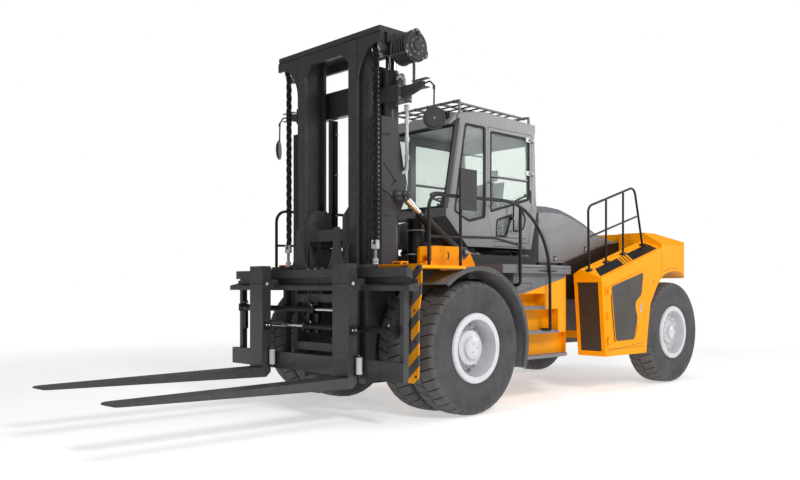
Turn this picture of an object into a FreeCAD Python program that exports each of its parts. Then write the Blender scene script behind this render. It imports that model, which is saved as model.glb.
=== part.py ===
import FreeCAD, Part

import math
import os

os.makedirs("parts", exist_ok=True)

# Heavy counterbalance forklift truck, in millimetres.
# X is across the truck with +X on its left, -Y is forwards, +Z is up.
# Everything is laid out from the front axle: y = 0 at its centre, z = 0 on the ground, x = 0 midway.
# put() moves it all along Y at the end, so that the file's origin is under the middle of the truck.

# ---- driving dimensions ---------------------------------------------------------------------------
WHEELBASE = 4580.0
TYRE_R = 747.5            # 16.00-25 tyre
TYRE_W = 405.0
TWIN_GAP = 45.0           # between the two front tyres of a side
FRONT_OUT = 1500.0        # outer face of the outer front tyre
REAR_OUT = 1400.0         # outer face of a steer tyre
RIM_R = 380.0             # rim flange
RIM_SEAT_R = 340.0
RIM_INSET = 33.0          # from a tyre's outer face to the end of the rim's tube

MAST_TOP = 4240.0
MAST_FRONT = -929.0       # front face of the inner rails
MAST_PIVOT_Y = -470.0
MAST_PIVOT_Z = 620.0
INNER_RAIL_IN = 405.0     # inner rail's flange, from its inner edge
INNER_RAIL_OUT = 541.0    # to its outer edge
OUTER_RAIL_OUT = 612.0
RAIL_FLANGE = 36.0
RAIL_WEB = 34.0
BEAM_HALF_W = 919.0

CARRIAGE_HALF_W = 1565.0
HOOK_RAIL_HALF_W = 1638.0
CARRIAGE_TOP = 1623.0
CARRIAGE_BOTTOM = 465.0

FORK_FACE = -1365.0       # front of the fork shanks
FORK_W = 261.0
FORK_X = 783.5            # middle of a fork
FORK_THICK = 115.0
FORK_TOP = 1670.0
FORK_HEEL_TOP = 478.0     # upper face of the blade at the heel
FORK_TIP_Y = -3925.0

CAB_HALF_W = 690.0
CAB_FRONT = 357.0
CAB_REAR = 2150.0
CAB_FLOOR = 1926.0
CAB_ROOF_LOW = 3490.0
CAB_ROOF_TOP = 3610.0
DOOR_FRONT = 1135.0
DOOR_REAR = 2030.0

DECK_TOP = 1650.0
BODY_HALF_W = 1420.0      # outer faces of the side cabinets and counterweight
CABINET_FRONT = 2585.0
CABINET_REAR = 3750.0
CABINET_BOTTOM = 490.0
CW_REAR = 5400.0
CW_TOP = 2230.0

CLEAR = 5.0               # clearance between pieces that move past each other
SEAT = 0.3                # gap at a seat or a shaft

ORIGIN_Y = (FORK_TIP_Y + CW_REAR) / 2
SIDES = (("left", 1), ("right", -1))


# ---- shape helpers --------------------------------------------------------------------------------
def V(x, y, z):
    return FreeCAD.Vector(x, y, z)


def box(x0, x1, y0, y1, z0, z1):
    lo = V(min(x0, x1), min(y0, y1), min(z0, z1))
    return Part.makeBox(abs(x1 - x0), abs(y1 - y0), abs(z1 - z0), lo)


def rod(start, end, radius):
    """A round bar from one point to another."""
    a = V(*start)
    b = V(*end)
    return Part.makeCylinder(radius, (b - a).Length, a, b - a)


def ring_x(y, z, r_in, r_out, x0, x1):
    """A ring about an axis along X."""
    outer = rod((x0, y, z), (x1, y, z), r_out)
    if r_in <= 0:
        return outer
    return outer.cut(rod((x0 - 1, y, z), (x1 + 1, y, z), r_in))


def plate(points, direction, low, high):
    """A flat plate: its outline is given across the direction that it is thick in.

    direction "x" takes (y, z) points, "y" takes (x, z) points and "z" takes (x, y) points.
    """
    if direction == "x":
        corners = [V(low, a, b) for a, b in points]
        push = V(high - low, 0, 0)
    elif direction == "y":
        corners = [V(a, low, b) for a, b in points]
        push = V(0, high - low, 0)
    else:
        corners = [V(a, b, low) for a, b in points]
        push = V(0, 0, high - low)
    return Part.Face(Part.makePolygon(corners + corners[:1])).extrude(push)


def disc_x(y, z, radius, x0, x1):
    return rod((x0, y, z), (x1, y, z), radius)


def fuse(*shapes):
    whole = shapes[0]
    for shape in shapes[1:]:
        whole = whole.fuse(shape)
    return whole.removeSplitter()


def cut(shape, *tools):
    for tool in tools:
        shape = shape.cut(tool)
    return shape


def apart(*shapes):
    """The shapes as separate solids, each one cut back where an earlier one fills its room."""
    return [cut(shape, *shapes[:i]) for i, shape in enumerate(shapes)]


def flip(shape):
    """The same shape on the other side of the truck."""
    return shape.mirror(V(0, 0, 0), V(1, 0, 0))


def on_side(shape, sign):
    return shape if sign > 0 else flip(shape)


def both(shape):
    return [shape, flip(shape)]


def bent_tube(points, radius, *bends):
    """A round tube through the points, with a bend radius for each corner or one for all of them."""
    pts = [V(*p) for p in points]
    corners = len(pts) - 2
    edges = []
    start = pts[0]
    for bend, before, corner, after in zip(bends * corners, pts, pts[1:], pts[2:]):
        u = (before - corner).normalize()
        w = (after - corner).normalize()
        half = u.getAngle(w) / 2
        back = bend / math.tan(half)
        enter = corner + u * back
        leave = corner + w * back
        middle_dir = (u + w).normalize()
        middle = corner + middle_dir * (bend / math.sin(half) - bend)
        edges.append(Part.makeLine(start, enter))
        edges.append(Part.Arc(enter, middle, leave).toShape())
        start = leave
    edges.append(Part.makeLine(start, pts[-1]))
    path = Part.Wire(edges)
    section = Part.Wire(Part.makeCircle(radius, pts[0], pts[1] - pts[0]))
    return path.makePipeShell([section], True, False)


def revolve_x(points, y, z):
    """Turns an outline of (x, radius) points about the axis along X at (y, z)."""
    corners = [V(x, y, z + r) for x, r in points]
    face = Part.Face(Part.makePolygon(corners + corners[:1]))
    return face.revolve(V(0, y, z), V(1, 0, 0), 360)


def put(node, *shapes):
    """Writes the solids of one node, moved to the file's origin."""
    solids = []
    for shape in shapes:
        parts = shape if isinstance(shape, list) else [shape]
        for part in parts:
            solids.extend(part.Solids)
    body = Part.makeCompound(solids) if len(solids) > 1 else solids[0]
    body.translate(V(0, -ORIGIN_Y, 0))
    body.exportStep("parts/" + node + ".step")


# ---- wheels ---------------------------------------------------------------------------------------
def tyre(x_out, y):
    """One tyre, with its outer face at x_out."""
    x_in = x_out - TYRE_W
    mid = (x_out + x_in) / 2
    bead = (TYRE_W / 2 - RIM_INSET - SEAT) / TYRE_W
    half = [(bead, RIM_SEAT_R), (bead, RIM_R + 8), (0.47, 440), (0.50, 540), (0.49, 650),
            (0.44, 712), (0.34, 738), (0.18, TYRE_R)]
    right = [(mid + share * TYRE_W, radius) for share, radius in half]
    left = [(mid - share * TYRE_W, radius) for share, radius in reversed(half)]
    return revolve_x(right + left, y, TYRE_R)


def rim_barrel(x_out, y):
    """The tube that a tyre sits on, with a flange at each side."""
    x_in = x_out - TYRE_W
    flange = 26.0
    low = x_in + RIM_INSET
    high = x_out - RIM_INSET
    tube = ring_x(y, TYRE_R, RIM_SEAT_R - 22, RIM_SEAT_R, low, high)
    outer = ring_x(y, TYRE_R, RIM_SEAT_R - 22, RIM_R, high, high + flange)
    inner = ring_x(y, TYRE_R, RIM_SEAT_R - 22, RIM_R, low - flange, low)
    return fuse(tube, outer, inner)


AXLE_SPINDLE_R = 150.0
FRONT_DISC_X = FRONT_OUT - 235.0
FRONT_DISC_THICK = 34.0
HUB_R = 200.0


def front_wheels():
    inner_out = FRONT_OUT - TYRE_W - TWIN_GAP
    tyres = [tyre(FRONT_OUT, 0), tyre(inner_out, 0)]
    spacer = ring_x(0, TYRE_R, RIM_SEAT_R - 22, RIM_SEAT_R + 10, inner_out - 8, FRONT_OUT - TYRE_W + 8)
    disc = ring_x(0, TYRE_R, AXLE_SPINDLE_R + SEAT, RIM_SEAT_R - 10,
                  FRONT_DISC_X - FRONT_DISC_THICK, FRONT_DISC_X)
    sleeve = ring_x(0, TYRE_R, AXLE_SPINDLE_R + SEAT, AXLE_SPINDLE_R + 50,
                    FRONT_DISC_X - 260, FRONT_DISC_X)
    # planetary hub: a stepped drum with a domed cover
    drum = revolve_x([(FRONT_DISC_X, 0), (FRONT_DISC_X, 245), (FRONT_DISC_X + 40, 245),
                      (FRONT_DISC_X + 55, HUB_R), (FRONT_DISC_X + 130, HUB_R - 10),
                      (FRONT_DISC_X + 140, 130), (FRONT_DISC_X + 175, 120),
                      (FRONT_DISC_X + 190, 80), (FRONT_DISC_X + 192, 0)], 0, TYRE_R)
    rims = fuse(rim_barrel(FRONT_OUT, 0), rim_barrel(inner_out, 0), spacer, disc, sleeve, drum)
    for side, sign in SIDES:
        put("front_tyres_" + side, [on_side(t, sign) for t in tyres])
        put("front_rims_" + side, on_side(rims, sign))


REAR_SPINDLE_R = 75.0
REAR_DISC_X = REAR_OUT - 120.0


def rear_wheels():
    disc = ring_x(WHEELBASE, TYRE_R, REAR_SPINDLE_R + SEAT, RIM_SEAT_R - 10, REAR_DISC_X - 30, REAR_DISC_X)
    sleeve = ring_x(WHEELBASE, TYRE_R, REAR_SPINDLE_R + SEAT, 130, REAR_DISC_X - 170, REAR_DISC_X)
    hub = revolve_x([(REAR_DISC_X, 0), (REAR_DISC_X, 165), (REAR_DISC_X + 35, 160),
                     (REAR_DISC_X + 45, 95), (REAR_DISC_X + 85, 88), (REAR_DISC_X + 98, 50),
                     (REAR_DISC_X + 100, 0)], WHEELBASE, TYRE_R)
    rim = fuse(rim_barrel(REAR_OUT, WHEELBASE), disc, sleeve, hub)
    for side, sign in SIDES:
        put("rear_tyre_" + side, on_side(tyre(REAR_OUT, WHEELBASE), sign))
        put("rear_rim_" + side, on_side(rim, sign))


# ---- axles ----------------------------------------------------------------------------------------
KINGPIN_X = 900.0
KINGPIN_R = 35.0
KNUCKLE_Z = (580.0, 915.0)
AXLE_FORK_THICK = 60.0
FRAME_X = (330.0, 380.0)          # inner and outer face of a frame plate
FRAME_Z = (600.0, 1250.0)
REAR_FRAME_HALF_W = 250.0
REAR_FRAME_Z = (900.0, 1500.0)
AXLE_TUBE_R = 170.0


def front_axle():
    spindle_end = FRONT_DISC_X - 5
    tube = disc_x(0, TYRE_R, AXLE_TUBE_R, -560, 560)
    spindles = disc_x(0, TYRE_R, AXLE_SPINDLE_R, -spindle_end, spindle_end)
    brakes = disc_x(0, TYRE_R, 235, 640, 900)
    pot = disc_x(0, TYRE_R, 250, -200, 200)
    put("front_axle", fuse(tube, spindles, brakes, flip(brakes), pot))


def steer_axle():
    low, high = KNUCKLE_Z
    y = WHEELBASE
    beam = box(-780, 780, y - 115, y + 115, 600, 895)
    pieces = [beam, box(-180, 180, y - 115, y + 115, 895, REAR_FRAME_Z[0])]
    for sign in (1, -1):
        web = box(sign * 740, sign * 800, y - 100, y + 100, low - CLEAR - AXLE_FORK_THICK,
                  high + CLEAR + AXLE_FORK_THICK)
        upper = box(sign * 760, sign * 960, y - 80, y + 80, high + CLEAR, high + CLEAR + AXLE_FORK_THICK)
        lower = box(sign * 760, sign * 960, y - 80, y + 80, low - CLEAR - AXLE_FORK_THICK, low - CLEAR)
        pin = rod((sign * KINGPIN_X, y, low - CLEAR - AXLE_FORK_THICK - 12),
                  (sign * KINGPIN_X, y, high + CLEAR + AXLE_FORK_THICK + 12), KINGPIN_R)
        pieces += [web, upper, lower, pin]
    put("steer_axle", fuse(*pieces))


def knuckles():
    low, high = KNUCKLE_Z
    y = WHEELBASE
    block = box(KINGPIN_X - 50, KINGPIN_X + 55, y - 75, y + 75, low, high)
    spindle = disc_x(y, TYRE_R, REAR_SPINDLE_R, KINGPIN_X + 50, REAR_DISC_X - 5)
    hole = rod((KINGPIN_X, y, low - 1), (KINGPIN_X, y, high + 1), KINGPIN_R + SEAT)
    knuckle = cut(fuse(block, spindle), hole)
    for side, sign in SIDES:
        put("knuckle_" + side, on_side(knuckle, sign))


# ---- chassis --------------------------------------------------------------------------------------
PIVOT_R = 50.0
FRAME_FRONT = -350.0
LUG_OUT = 493.0                   # outer face of a mast pivot lug
FRAME_REAR = 3620.0
BRIDGE_Y = (250.0, 520.0)         # cross box over the front axle that carries decks and tilt brackets
BRIDGE_Z = (1520.0, 1620.0)


def chassis_frame():
    x0, x1 = FRAME_X
    z0, z1 = FRAME_Z
    side = box(x0, x1, FRAME_FRONT, FRAME_REAR, z0, z1)
    lug = plate([(FRAME_FRONT + 1, 500), (-520, 540), (-560, MAST_PIVOT_Z), (-520, 700),
                 (FRAME_FRONT + 1, 900)], "x", 420, LUG_OUT)
    lug_base = box(x1, LUG_OUT, FRAME_FRONT, FRAME_FRONT + 90, 620, 1100)
    lug_tail = box(420, LUG_OUT, FRAME_FRONT, FRAME_FRONT + 60, 500, 900)
    pin = rod((420, MAST_PIVOT_Y, MAST_PIVOT_Z), (OUTER_RAIL_OUT - 4, MAST_PIVOT_Y, MAST_PIVOT_Z), PIVOT_R)
    upright = box(x0, x1, 300, 480, z1, BRIDGE_Z[0])
    half = fuse(side, lug, lug_base, lug_tail, pin, upright)
    cross = [box(-x0, x0, y, y + 60, z0 + 60, z1 - 40) for y in (700, 1900, 3500)]
    front_plate = box(-LUG_OUT, LUG_OUT, FRAME_FRONT, FRAME_FRONT + 40, 950, 1150)
    belly = box(-x0, x0, 760, 3500, z0, z0 + 20)
    bridge = box(-1150, 1150, BRIDGE_Y[0], BRIDGE_Y[1], BRIDGE_Z[0], BRIDGE_Z[1])
    rear = box(-REAR_FRAME_HALF_W, REAR_FRAME_HALF_W, FRAME_REAR - 60, 5000,
               REAR_FRAME_Z[0], REAR_FRAME_Z[1])
    neck = box(-x1, x1, FRAME_REAR - 60, FRAME_REAR, REAR_FRAME_Z[0], REAR_FRAME_Z[1])
    outriggers = [box(-WALK_IN, WALK_IN, y, y + 70, 700, 800) for y in (1200, 2200)]
    frame = fuse(half, flip(half), *cross, front_plate, belly, bridge, rear, neck, *outriggers)
    put("chassis_frame", cut(frame, disc_x(0, TYRE_R, 250 + SEAT, -200, 200),
                             disc_x(0, TYRE_R, AXLE_TUBE_R + SEAT, -600, 600)))


def engine():
    block = box(-310, 310, 2350, 3350, 800, 1700)
    feet = [box(-FRAME_X[0], FRAME_X[0], y, y + 80, 1000, 1060) for y in (2450, 3170)]
    put("engine", fuse(block, *feet))


# ---- counterweight --------------------------------------------------------------------------------
CW_FRONT = 4180.0
CW_CORNER = 730.0
CW_BOTTOM = 1560.0
DRAWBAR_PIN_R = 26.0
CW_EDGE = 2050.0          # height of the side's upper edge
HOOD_HALF_W = 690.0
HOOD_FRONT = 2190.0
HOOD_REAR = 4255.0


def counterweight():
    w = BODY_HALF_W
    upper = box(-w, w, CW_FRONT, CW_REAR, CW_BOTTOM, CW_TOP)
    # the two rear corners are rounded in plan
    corner = cut(box(w - CW_CORNER, w + 10, CW_REAR - CW_CORNER, CW_REAR + 10, 0, 3000),
                 rod((w - CW_CORNER, CW_REAR - CW_CORNER, -1), (w - CW_CORNER, CW_REAR - CW_CORNER, 3001),
                     CW_CORNER))
    # the top slopes up from each side, and down to the rear
    slope = plate([(w + 10, CW_EDGE - 10), (w + 10, CW_TOP + 10), (w - 300, CW_TOP + 10),
                   (w - 300, CW_TOP)], "y", CW_FRONT - 10, CW_REAR + 10)
    tail = plate([(CW_REAR + 10, CW_EDGE - 20), (CW_REAR + 10, CW_TOP + 10), (CW_REAR - 900, CW_TOP + 10),
                  (CW_REAR - 900, CW_TOP)], "x", -w - 10, w + 10)
    arch = disc_x(WHEELBASE, TYRE_R, 915, 500, w + 10)
    upper = cut(upper, corner, flip(corner), slope, flip(slope), tail, arch, flip(arch))
    lower = box(-REAR_FRAME_HALF_W, REAR_FRAME_HALF_W, 5000, CW_REAR - 60, 620, CW_BOTTOM)
    shelf = box(-HOOD_HALF_W, HOOD_HALF_W, 3900, CW_REAR - 200, REAR_FRAME_Z[1], CW_BOTTOM)
    recess = box(-HOOD_HALF_W - 15, HOOD_HALF_W + 15, CW_FRONT - 10, HOOD_REAR + 27, CW_BOTTOM, CW_TOP + 10)
    weight = fuse(cut(upper, recess), lower, shelf)
    slot = box(-90, 90, CW_REAR - 200, CW_REAR + 10, 1000, 1090)
    pocket = box(-90, 90, CW_REAR - 200, CW_REAR + 10, 1200, 1520)
    pin_bore = rod((0, CW_REAR - 130, 600), (0, CW_REAR - 130, 1201), DRAWBAR_PIN_R)
    put("counterweight", cut(weight, slot, pocket, pin_bore))


# ---- front decks, guards and fenders --------------------------------------------------------------
DECK_THICK = 30.0
DECK_FRONT = -915.0
DECK_OUT = 1550.0
DECK_IN = 880.0
TILT_X = 900.0
TILT_BRACKET = (330.0, 1830.0)    # y and z of the tilt cylinders' rear pins
TILT_EYE = (-560.0, 2430.0)       # y and z of their rod eyes
TILT_PIN_R = 32.0
TILT_EYE_PIN_R = 22.0
TILT_EYE_BORE_R = 34.0            # the eye drifts up to 10 mm about its pin over the tilt range


def front_decks():
    """The yellow decks ahead of the cab, each with the bracket that holds a tilt cylinder."""
    deck = box(DECK_IN, DECK_OUT, DECK_FRONT, -250, DECK_TOP - DECK_THICK, DECK_TOP)
    rib = box(DECK_IN, 1150, -250, BRIDGE_Y[1], DECK_TOP - DECK_THICK, DECK_TOP)
    y, z = TILT_BRACKET
    cheek = [(-235, DECK_TOP), (-225, 1860), (-190, 1890), (y - 50, 1890), (y + 70, z + 20),
             (y + 180, DECK_TOP + 40), (y + 180, DECK_TOP)]
    outer = plate(cheek, "x", TILT_X + 75, TILT_X + 115)
    inner = plate(cheek, "x", TILT_X - 115, TILT_X - 75)
    pin = rod((TILT_X - 125, y, z), (TILT_X + 125, y, z), TILT_PIN_R)
    back = box(TILT_X - 75, TILT_X + 75, y + 110, y + 170, DECK_TOP, DECK_TOP + 60)
    strut = box(DECK_IN, 1150, BRIDGE_Y[0], BRIDGE_Y[1], BRIDGE_Z[1], DECK_TOP)
    base = box(TILT_X - 115, 1150, -240, BRIDGE_Y[1], DECK_TOP - DECK_THICK, DECK_TOP)
    lug = box(1010, 1120, -420, -300, DECK_TOP, DECK_TOP + 60)
    half = fuse(deck, rib, outer, inner, pin, back, strut, base, lug)
    put("front_decks", both(half))


def guard_plates():
    """The striped plates that hang from the decks in front of the tyres."""
    outline = [(1250, DECK_TOP), (1550, DECK_TOP), (1550, 1500), (1540, 1330), (1510, 1180), (1510, 560),
               (1500, 450), (1475, 430), (1300, 430), (1280, 450), (1280, 640), (1400, 760), (1400, 1180),
               (1440, 1400), (1440, 1560), (1250, 1600)]
    face = plate(outline, "y", DECK_FRONT - 12, DECK_FRONT)
    put("guard_plates", both(face))


FENDER_R = 862.0
FENDER_Z = 787.5
FENDER_THICK = 22.0


def fender_band(r_in, r_out, x0, x1):
    """A band over the front tyre, from the deck to low behind the wheel."""
    full = ring_x(0, FENDER_Z, r_in, r_out, x0, x1)
    behind = math.radians(-21)
    ahead = math.radians(128)
    reach = 2000
    keep = plate([(0, FENDER_Z), (reach * math.cos(behind), FENDER_Z + reach * math.sin(behind)),
                  (reach, FENDER_Z + reach), (-reach, FENDER_Z + reach),
                  (reach * math.cos(ahead), FENDER_Z + reach * math.sin(ahead))],
                 "x", x0 - 1, x1 + 1)
    return full.common(keep)


def fenders():
    band = fender_band(FENDER_R - FENDER_THICK, FENDER_R, 1155, 1535)
    lip = fender_band(FENDER_R - 45, FENDER_R, 1520, 1535)
    arm = box(1150, 1190, BRIDGE_Y[0], BRIDGE_Y[0] + 140, BRIDGE_Z[0], BRIDGE_Z[1])
    arm = cut(arm, disc_x(0, FENDER_Z, FENDER_R - 1, 900, 1600))
    put("fenders", both(fuse(band, lip, arm)))


# ---- body sides, steps and cabinets ---------------------------------------------------------------
SIDE_OUT = 1300.0
SIDE_FRONT = 880.0
SIDE_CORNER = (SIDE_OUT - 450, 1805.0)    # x and y of the middle of the rounded rear corner
WALK_OUT = 1365.0
WALK_Z = (1590.0, 1690.0)
WALK_IN = 700.0            # inner faces of the tanks and walkways
STEP_Z = (545.0, 850.0, 1150.0)
STEP_DEPTH = 150.0
STEP_FRONT = 900.0
STEP_REAR = (2060.0, 1780.0, 1500.0)
STEP_THICK = 28.0
STEP_ROOM_TOP = 1340.0
RAIL_R = 19.0
RAIL_X = WALK_OUT + RAIL_R + 1
RAIL_FRONT = (-650.0, 2410.0)     # y and z where the front handrail's two uprights would meet its top
RAIL_REAR = (1472.0, 2436.0)
RAIL_FOOT = (1495.0, STEP_Z[1] + STEP_THICK + RAIL_R + SEAT)


def rounded_rear(shape, reach):
    """Rounds the rear corner of something that reaches out to x."""
    x, y = SIDE_CORNER
    corner = box(x, reach + 1, y, CABINET_FRONT, 0, 2000)
    return cut(shape, cut(corner, rod((x, y, -1), (x, y, 2001), reach - x)))


def body_sides():
    """The tank sides under the walkways, with a rounded rear corner and a stepped recess for the treads."""
    corner_x, corner_y = SIDE_CORNER
    tank = box(WALK_IN, SIDE_OUT, SIDE_FRONT, corner_y + SIDE_OUT - corner_x, STEP_Z[0], WALK_Z[0])
    tank = rounded_rear(tank, SIDE_OUT)
    inner = box(WALK_IN, corner_x, SIDE_FRONT, CABINET_FRONT - 20, STEP_Z[0], WALK_Z[1])
    for low, high, rear in zip(STEP_Z, STEP_Z[1:] + (STEP_ROOM_TOP,), STEP_REAR):
        tank = cut(tank, box(SIDE_OUT - STEP_DEPTH, SIDE_OUT + 1, STEP_FRONT, rear, low, high))
    walk = box(WALK_IN, WALK_OUT, 600, corner_y + WALK_OUT - corner_x, WALK_Z[0], WALK_Z[1])
    walk = cut(rounded_rear(walk, WALK_OUT), disc_x(0, FENDER_Z, FENDER_R + 3, 500, 1600))
    put("body_sides", both(fuse(tank, inner, walk)))


def steps():
    reach = SIDE_OUT + 12
    treads = []
    for z, rear in zip(STEP_Z, STEP_REAR):
        tread = box(SIDE_OUT - STEP_DEPTH, reach, STEP_FRONT, rear, z, z + STEP_THICK)
        treads += both(rounded_rear(tread, reach))
    put("steps", treads)


CABINET_IN = BODY_HALF_W - 435
CABINET_WALL = 35.0
CABINET_FRONT_TOP = 1545.0
CABINET_EDGE_REAR = 1995.0    # height of the outer edge where it meets the counterweight
CABINET_SLOPE = (CABINET_EDGE_REAR - CABINET_FRONT_TOP) / (CW_FRONT - CABINET_FRONT)
CABINET_BEVEL = 115.0         # rise of the roof from the outer wall to the ridge
CABINET_RAKE = 105.0          # the front leans back towards its foot
CABINET_RIDGE_X = BODY_HALF_W - 340
CABINET_BACK = 3615.0         # rear wall, ahead of the steer tyre's sweep


def cabinet_skin(inset):
    """Side outline of a cabinet; the rear follows the steer tyre."""
    return [(CABINET_FRONT + CABINET_RAKE, CABINET_BOTTOM), (CABINET_REAR - 10, CABINET_BOTTOM),
            (CABINET_REAR + 30, 780), (CABINET_REAR + 105, 1180), (CABINET_REAR + 290, 1440),
            (CW_FRONT, CW_BOTTOM), (CW_FRONT, CABINET_EDGE_REAR - inset),
            (CABINET_FRONT, CABINET_FRONT_TOP - inset)]


def cabinet_front(z0, z1, back, thick):
    """An upright strip of the raked front between two heights, set back by a distance."""
    share0 = (CABINET_FRONT_TOP - z0) / (CABINET_FRONT_TOP - CABINET_BOTTOM)
    share1 = (CABINET_FRONT_TOP - z1) / (CABINET_FRONT_TOP - CABINET_BOTTOM)
    y0 = CABINET_FRONT + CABINET_RAKE * share0 + back
    y1 = CABINET_FRONT + CABINET_RAKE * share1 + back
    return [(y0, z0), (y0 + thick, z0), (y1 + thick, z1), (y1, z1)]


def cabinet_roof(x0, x1, lift0, lift1, thick):
    """A sloping slab from x0 to x1; its two edges stand at their own heights over the outer edge."""
    def end(y, rise):
        corners = [V(x0, y, rise + lift0 - thick), V(x1, y, rise + lift1 - thick),
                   V(x1, y, rise + lift1), V(x0, y, rise + lift0)]
        return Part.makePolygon(corners + corners[:1])
    front = end(CABINET_FRONT, CABINET_FRONT_TOP)
    rear = end(CW_FRONT, CABINET_EDGE_REAR)
    return Part.makeLoft([front, rear], True, True)


DOOR_Y = (2740.0, 3640.0)
DOOR_Z = (590.0, 1480.0)
DOOR_PIN = (BODY_HALF_W + 17, 2728.0)    # x and y of the cabinet door's hinge pins
DOOR_PIN_Z = (700.0, 1030.0, 1370.0)


def cabinet_opening(grow):
    """Outline of the side door, or of its opening when grown."""
    y0, y1 = DOOR_Y
    z0, z1 = DOOR_Z
    slope = CABINET_SLOPE * (y1 - y0)
    return [(y0 - grow, z0 - grow), (y1 + grow, z0 - grow), (y1 + grow, z1 + slope - 60 + grow),
            (y0 - grow, z1 - 60 + grow)]


def cabinets():
    w = BODY_HALF_W
    skin = plate(cabinet_skin(0), "x", w - CABINET_WALL, w)
    skin = cut(skin, plate(cabinet_opening(CLEAR), "x", w - CABINET_WALL - 1, w + 1))
    roof_out = cabinet_roof(CABINET_RIDGE_X, w - CABINET_WALL, CABINET_BEVEL, 12, 30)
    roof_in = cabinet_roof(CABINET_IN, CABINET_RIDGE_X, CABINET_BEVEL - 60, CABINET_BEVEL, 30)
    wall_x = CABINET_IN + CABINET_WALL
    inner_top = CABINET_FRONT_TOP + CABINET_BEVEL - 70
    inner = plate([(CABINET_FRONT + CABINET_RAKE, CABINET_BOTTOM), (CABINET_BACK, CABINET_BOTTOM),
                   (CABINET_BACK, CW_BOTTOM), (CW_FRONT, 1700),
                   (CW_FRONT, CABINET_EDGE_REAR + CABINET_BEVEL - 70), (CABINET_FRONT, inner_top)],
                  "x", CABINET_IN, wall_x)
    floor = box(CABINET_IN, w, CABINET_FRONT + CABINET_RAKE, CABINET_BACK, CABINET_BOTTOM,
                CABINET_BOTTOM + CABINET_WALL)
    back = box(CABINET_IN, w - CABINET_WALL, CABINET_BACK - CABINET_WALL, CABINET_BACK, CABINET_BOTTOM,
               CW_BOTTOM + 60)
    shelf = box(CABINET_IN, w - CABINET_WALL, CABINET_BACK - CABINET_WALL, CW_FRONT, 1600, 1600 + 40)
    sill = plate(cabinet_front(CABINET_BOTTOM, CABINET_BOTTOM + 70, 0, 35), "x", CABINET_IN, w)
    post_out = plate(cabinet_front(CABINET_BOTTOM, CABINET_FRONT_TOP - 1, 0, 35), "x", w - 60, w)
    post_in = plate(cabinet_front(CABINET_BOTTOM, inner_top - 1, 0, 35), "x", CABINET_IN, CABINET_IN + 50)
    head = plate([(CABINET_IN, CABINET_FRONT_TOP - 60), (w, CABINET_FRONT_TOP - 60),
                  (w, CABINET_FRONT_TOP - 16), (CABINET_RIDGE_X, CABINET_FRONT_TOP + CABINET_BEVEL - 15),
                  (CABINET_IN, CABINET_FRONT_TOP + CABINET_BEVEL - 75)],
                 "y", CABINET_FRONT, CABINET_FRONT + 35)
    mesh = plate(cabinet_front(CABINET_BOTTOM + 60, CABINET_FRONT_TOP - 50, 12, 10), "x",
                 CABINET_IN + 45, w - 55)
    link = box(FRAME_X[1], CABINET_IN, 3000, 3100, 700, 800)
    x, y = DOOR_PIN
    hinges = []
    for z in DOOR_PIN_Z:
        hinges.append(rod((x, y, z - 37), (x, y, z + 30), 6))
        hinges.append(box(w - 5, x + 10, y - 10, y + 8, z - 37, z - 25 - SEAT))
    front = fuse(sill, post_out, post_in, head, mesh)
    # the skin is welded up from strips ahead of, behind, over and under the door
    strips = [box(w - CABINET_WALL - 1, w + 50, y0, y1, 0, 3000)
              for y0, y1 in ((0, DOOR_Y[0] - CLEAR), (DOOR_Y[0] - CLEAR, DOOR_Y[1] + CLEAR),
                             (DOOR_Y[1] + CLEAR, CW_REAR))]
    ahead, beside, behind = [skin.common(strip) for strip in strips]
    shell = apart(fuse(ahead, *hinges), beside, behind, roof_out, roof_in, inner, floor, back, shelf,
                  front, link)
    put("cabinets", shell, [flip(piece) for piece in shell])


def cabinet_doors():
    leaf = plate(cabinet_opening(0), "x", BODY_HALF_W - 30, BODY_HALF_W)
    window = [(2810, 680), (3410, 680), (3500, 800), (3500, 980), (3440, 1110), (3470, 1240), (3520, 1330),
              (3520, 1550), (2810, 1370)]
    frame = cut(leaf, plate(window, "x", BODY_HALF_W - 31, BODY_HALF_W + 1))
    mesh = plate(window, "x", BODY_HALF_W - 22, BODY_HALF_W - 12)
    x, y = DOOR_PIN
    lugs = []
    for z in DOOR_PIN_Z:
        lugs.append(box(BODY_HALF_W - 4, x + 4, y + 17, y + 60, z - 25, z + 25))
        lugs.append(box(x - 11, x + 4, y, y + 30, z - 25, z + 25))
        lugs.append(rod((x, y, z - 25), (x, y, z + 25), 11))
    leaf = cut(fuse(frame, mesh, *lugs), rod((x, y, DOOR_Z[0]), (x, y, DOOR_Z[1]), 6 + SEAT))
    for side, sign in SIDES:
        put("cabinet_door_" + side, on_side(leaf, sign))


# ---- handrails ------------------------------------------------------------------------------------
def front_handrails():
    """Black tube rails that run from the deck over the walkway and down beside the steps."""
    x = RAIL_X
    y, z = RAIL_FOOT
    top = bent_tube([(x, RAIL_FRONT[0], DECK_TOP), (x, *RAIL_FRONT), (x, *RAIL_REAR), (x, y, z)],
                    RAIL_R, 150, 890)
    foot = rod((x, y - 2, z), (SIDE_OUT - 10, y - 55, z), RAIL_R)
    knee = Part.makeSphere(RAIL_R, V(x, y, z))
    post = cut(rod((x, -155, BRIDGE_Z[1]), (x, -155, 2405), RAIL_R - 2),
               disc_x(0, FENDER_Z, FENDER_R + SEAT, 1100, 1600))
    rear_y = SIDE_FRONT + RAIL_R + 1
    rear_z = WALK_Z[0] - 144
    post_rear = bent_tube([(x, rear_y, 2360), (x, rear_y, rear_z), (SIDE_OUT + SEAT, rear_y, rear_z)],
                          RAIL_R, 50)
    mid = bent_tube([(x, -660, 1960), (x, 420, 1985), (x, rear_y, 1915)], RAIL_R - 4, 150)
    put("front_handrails", both(fuse(top, foot, knee, mid, post, post_rear)))


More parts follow.
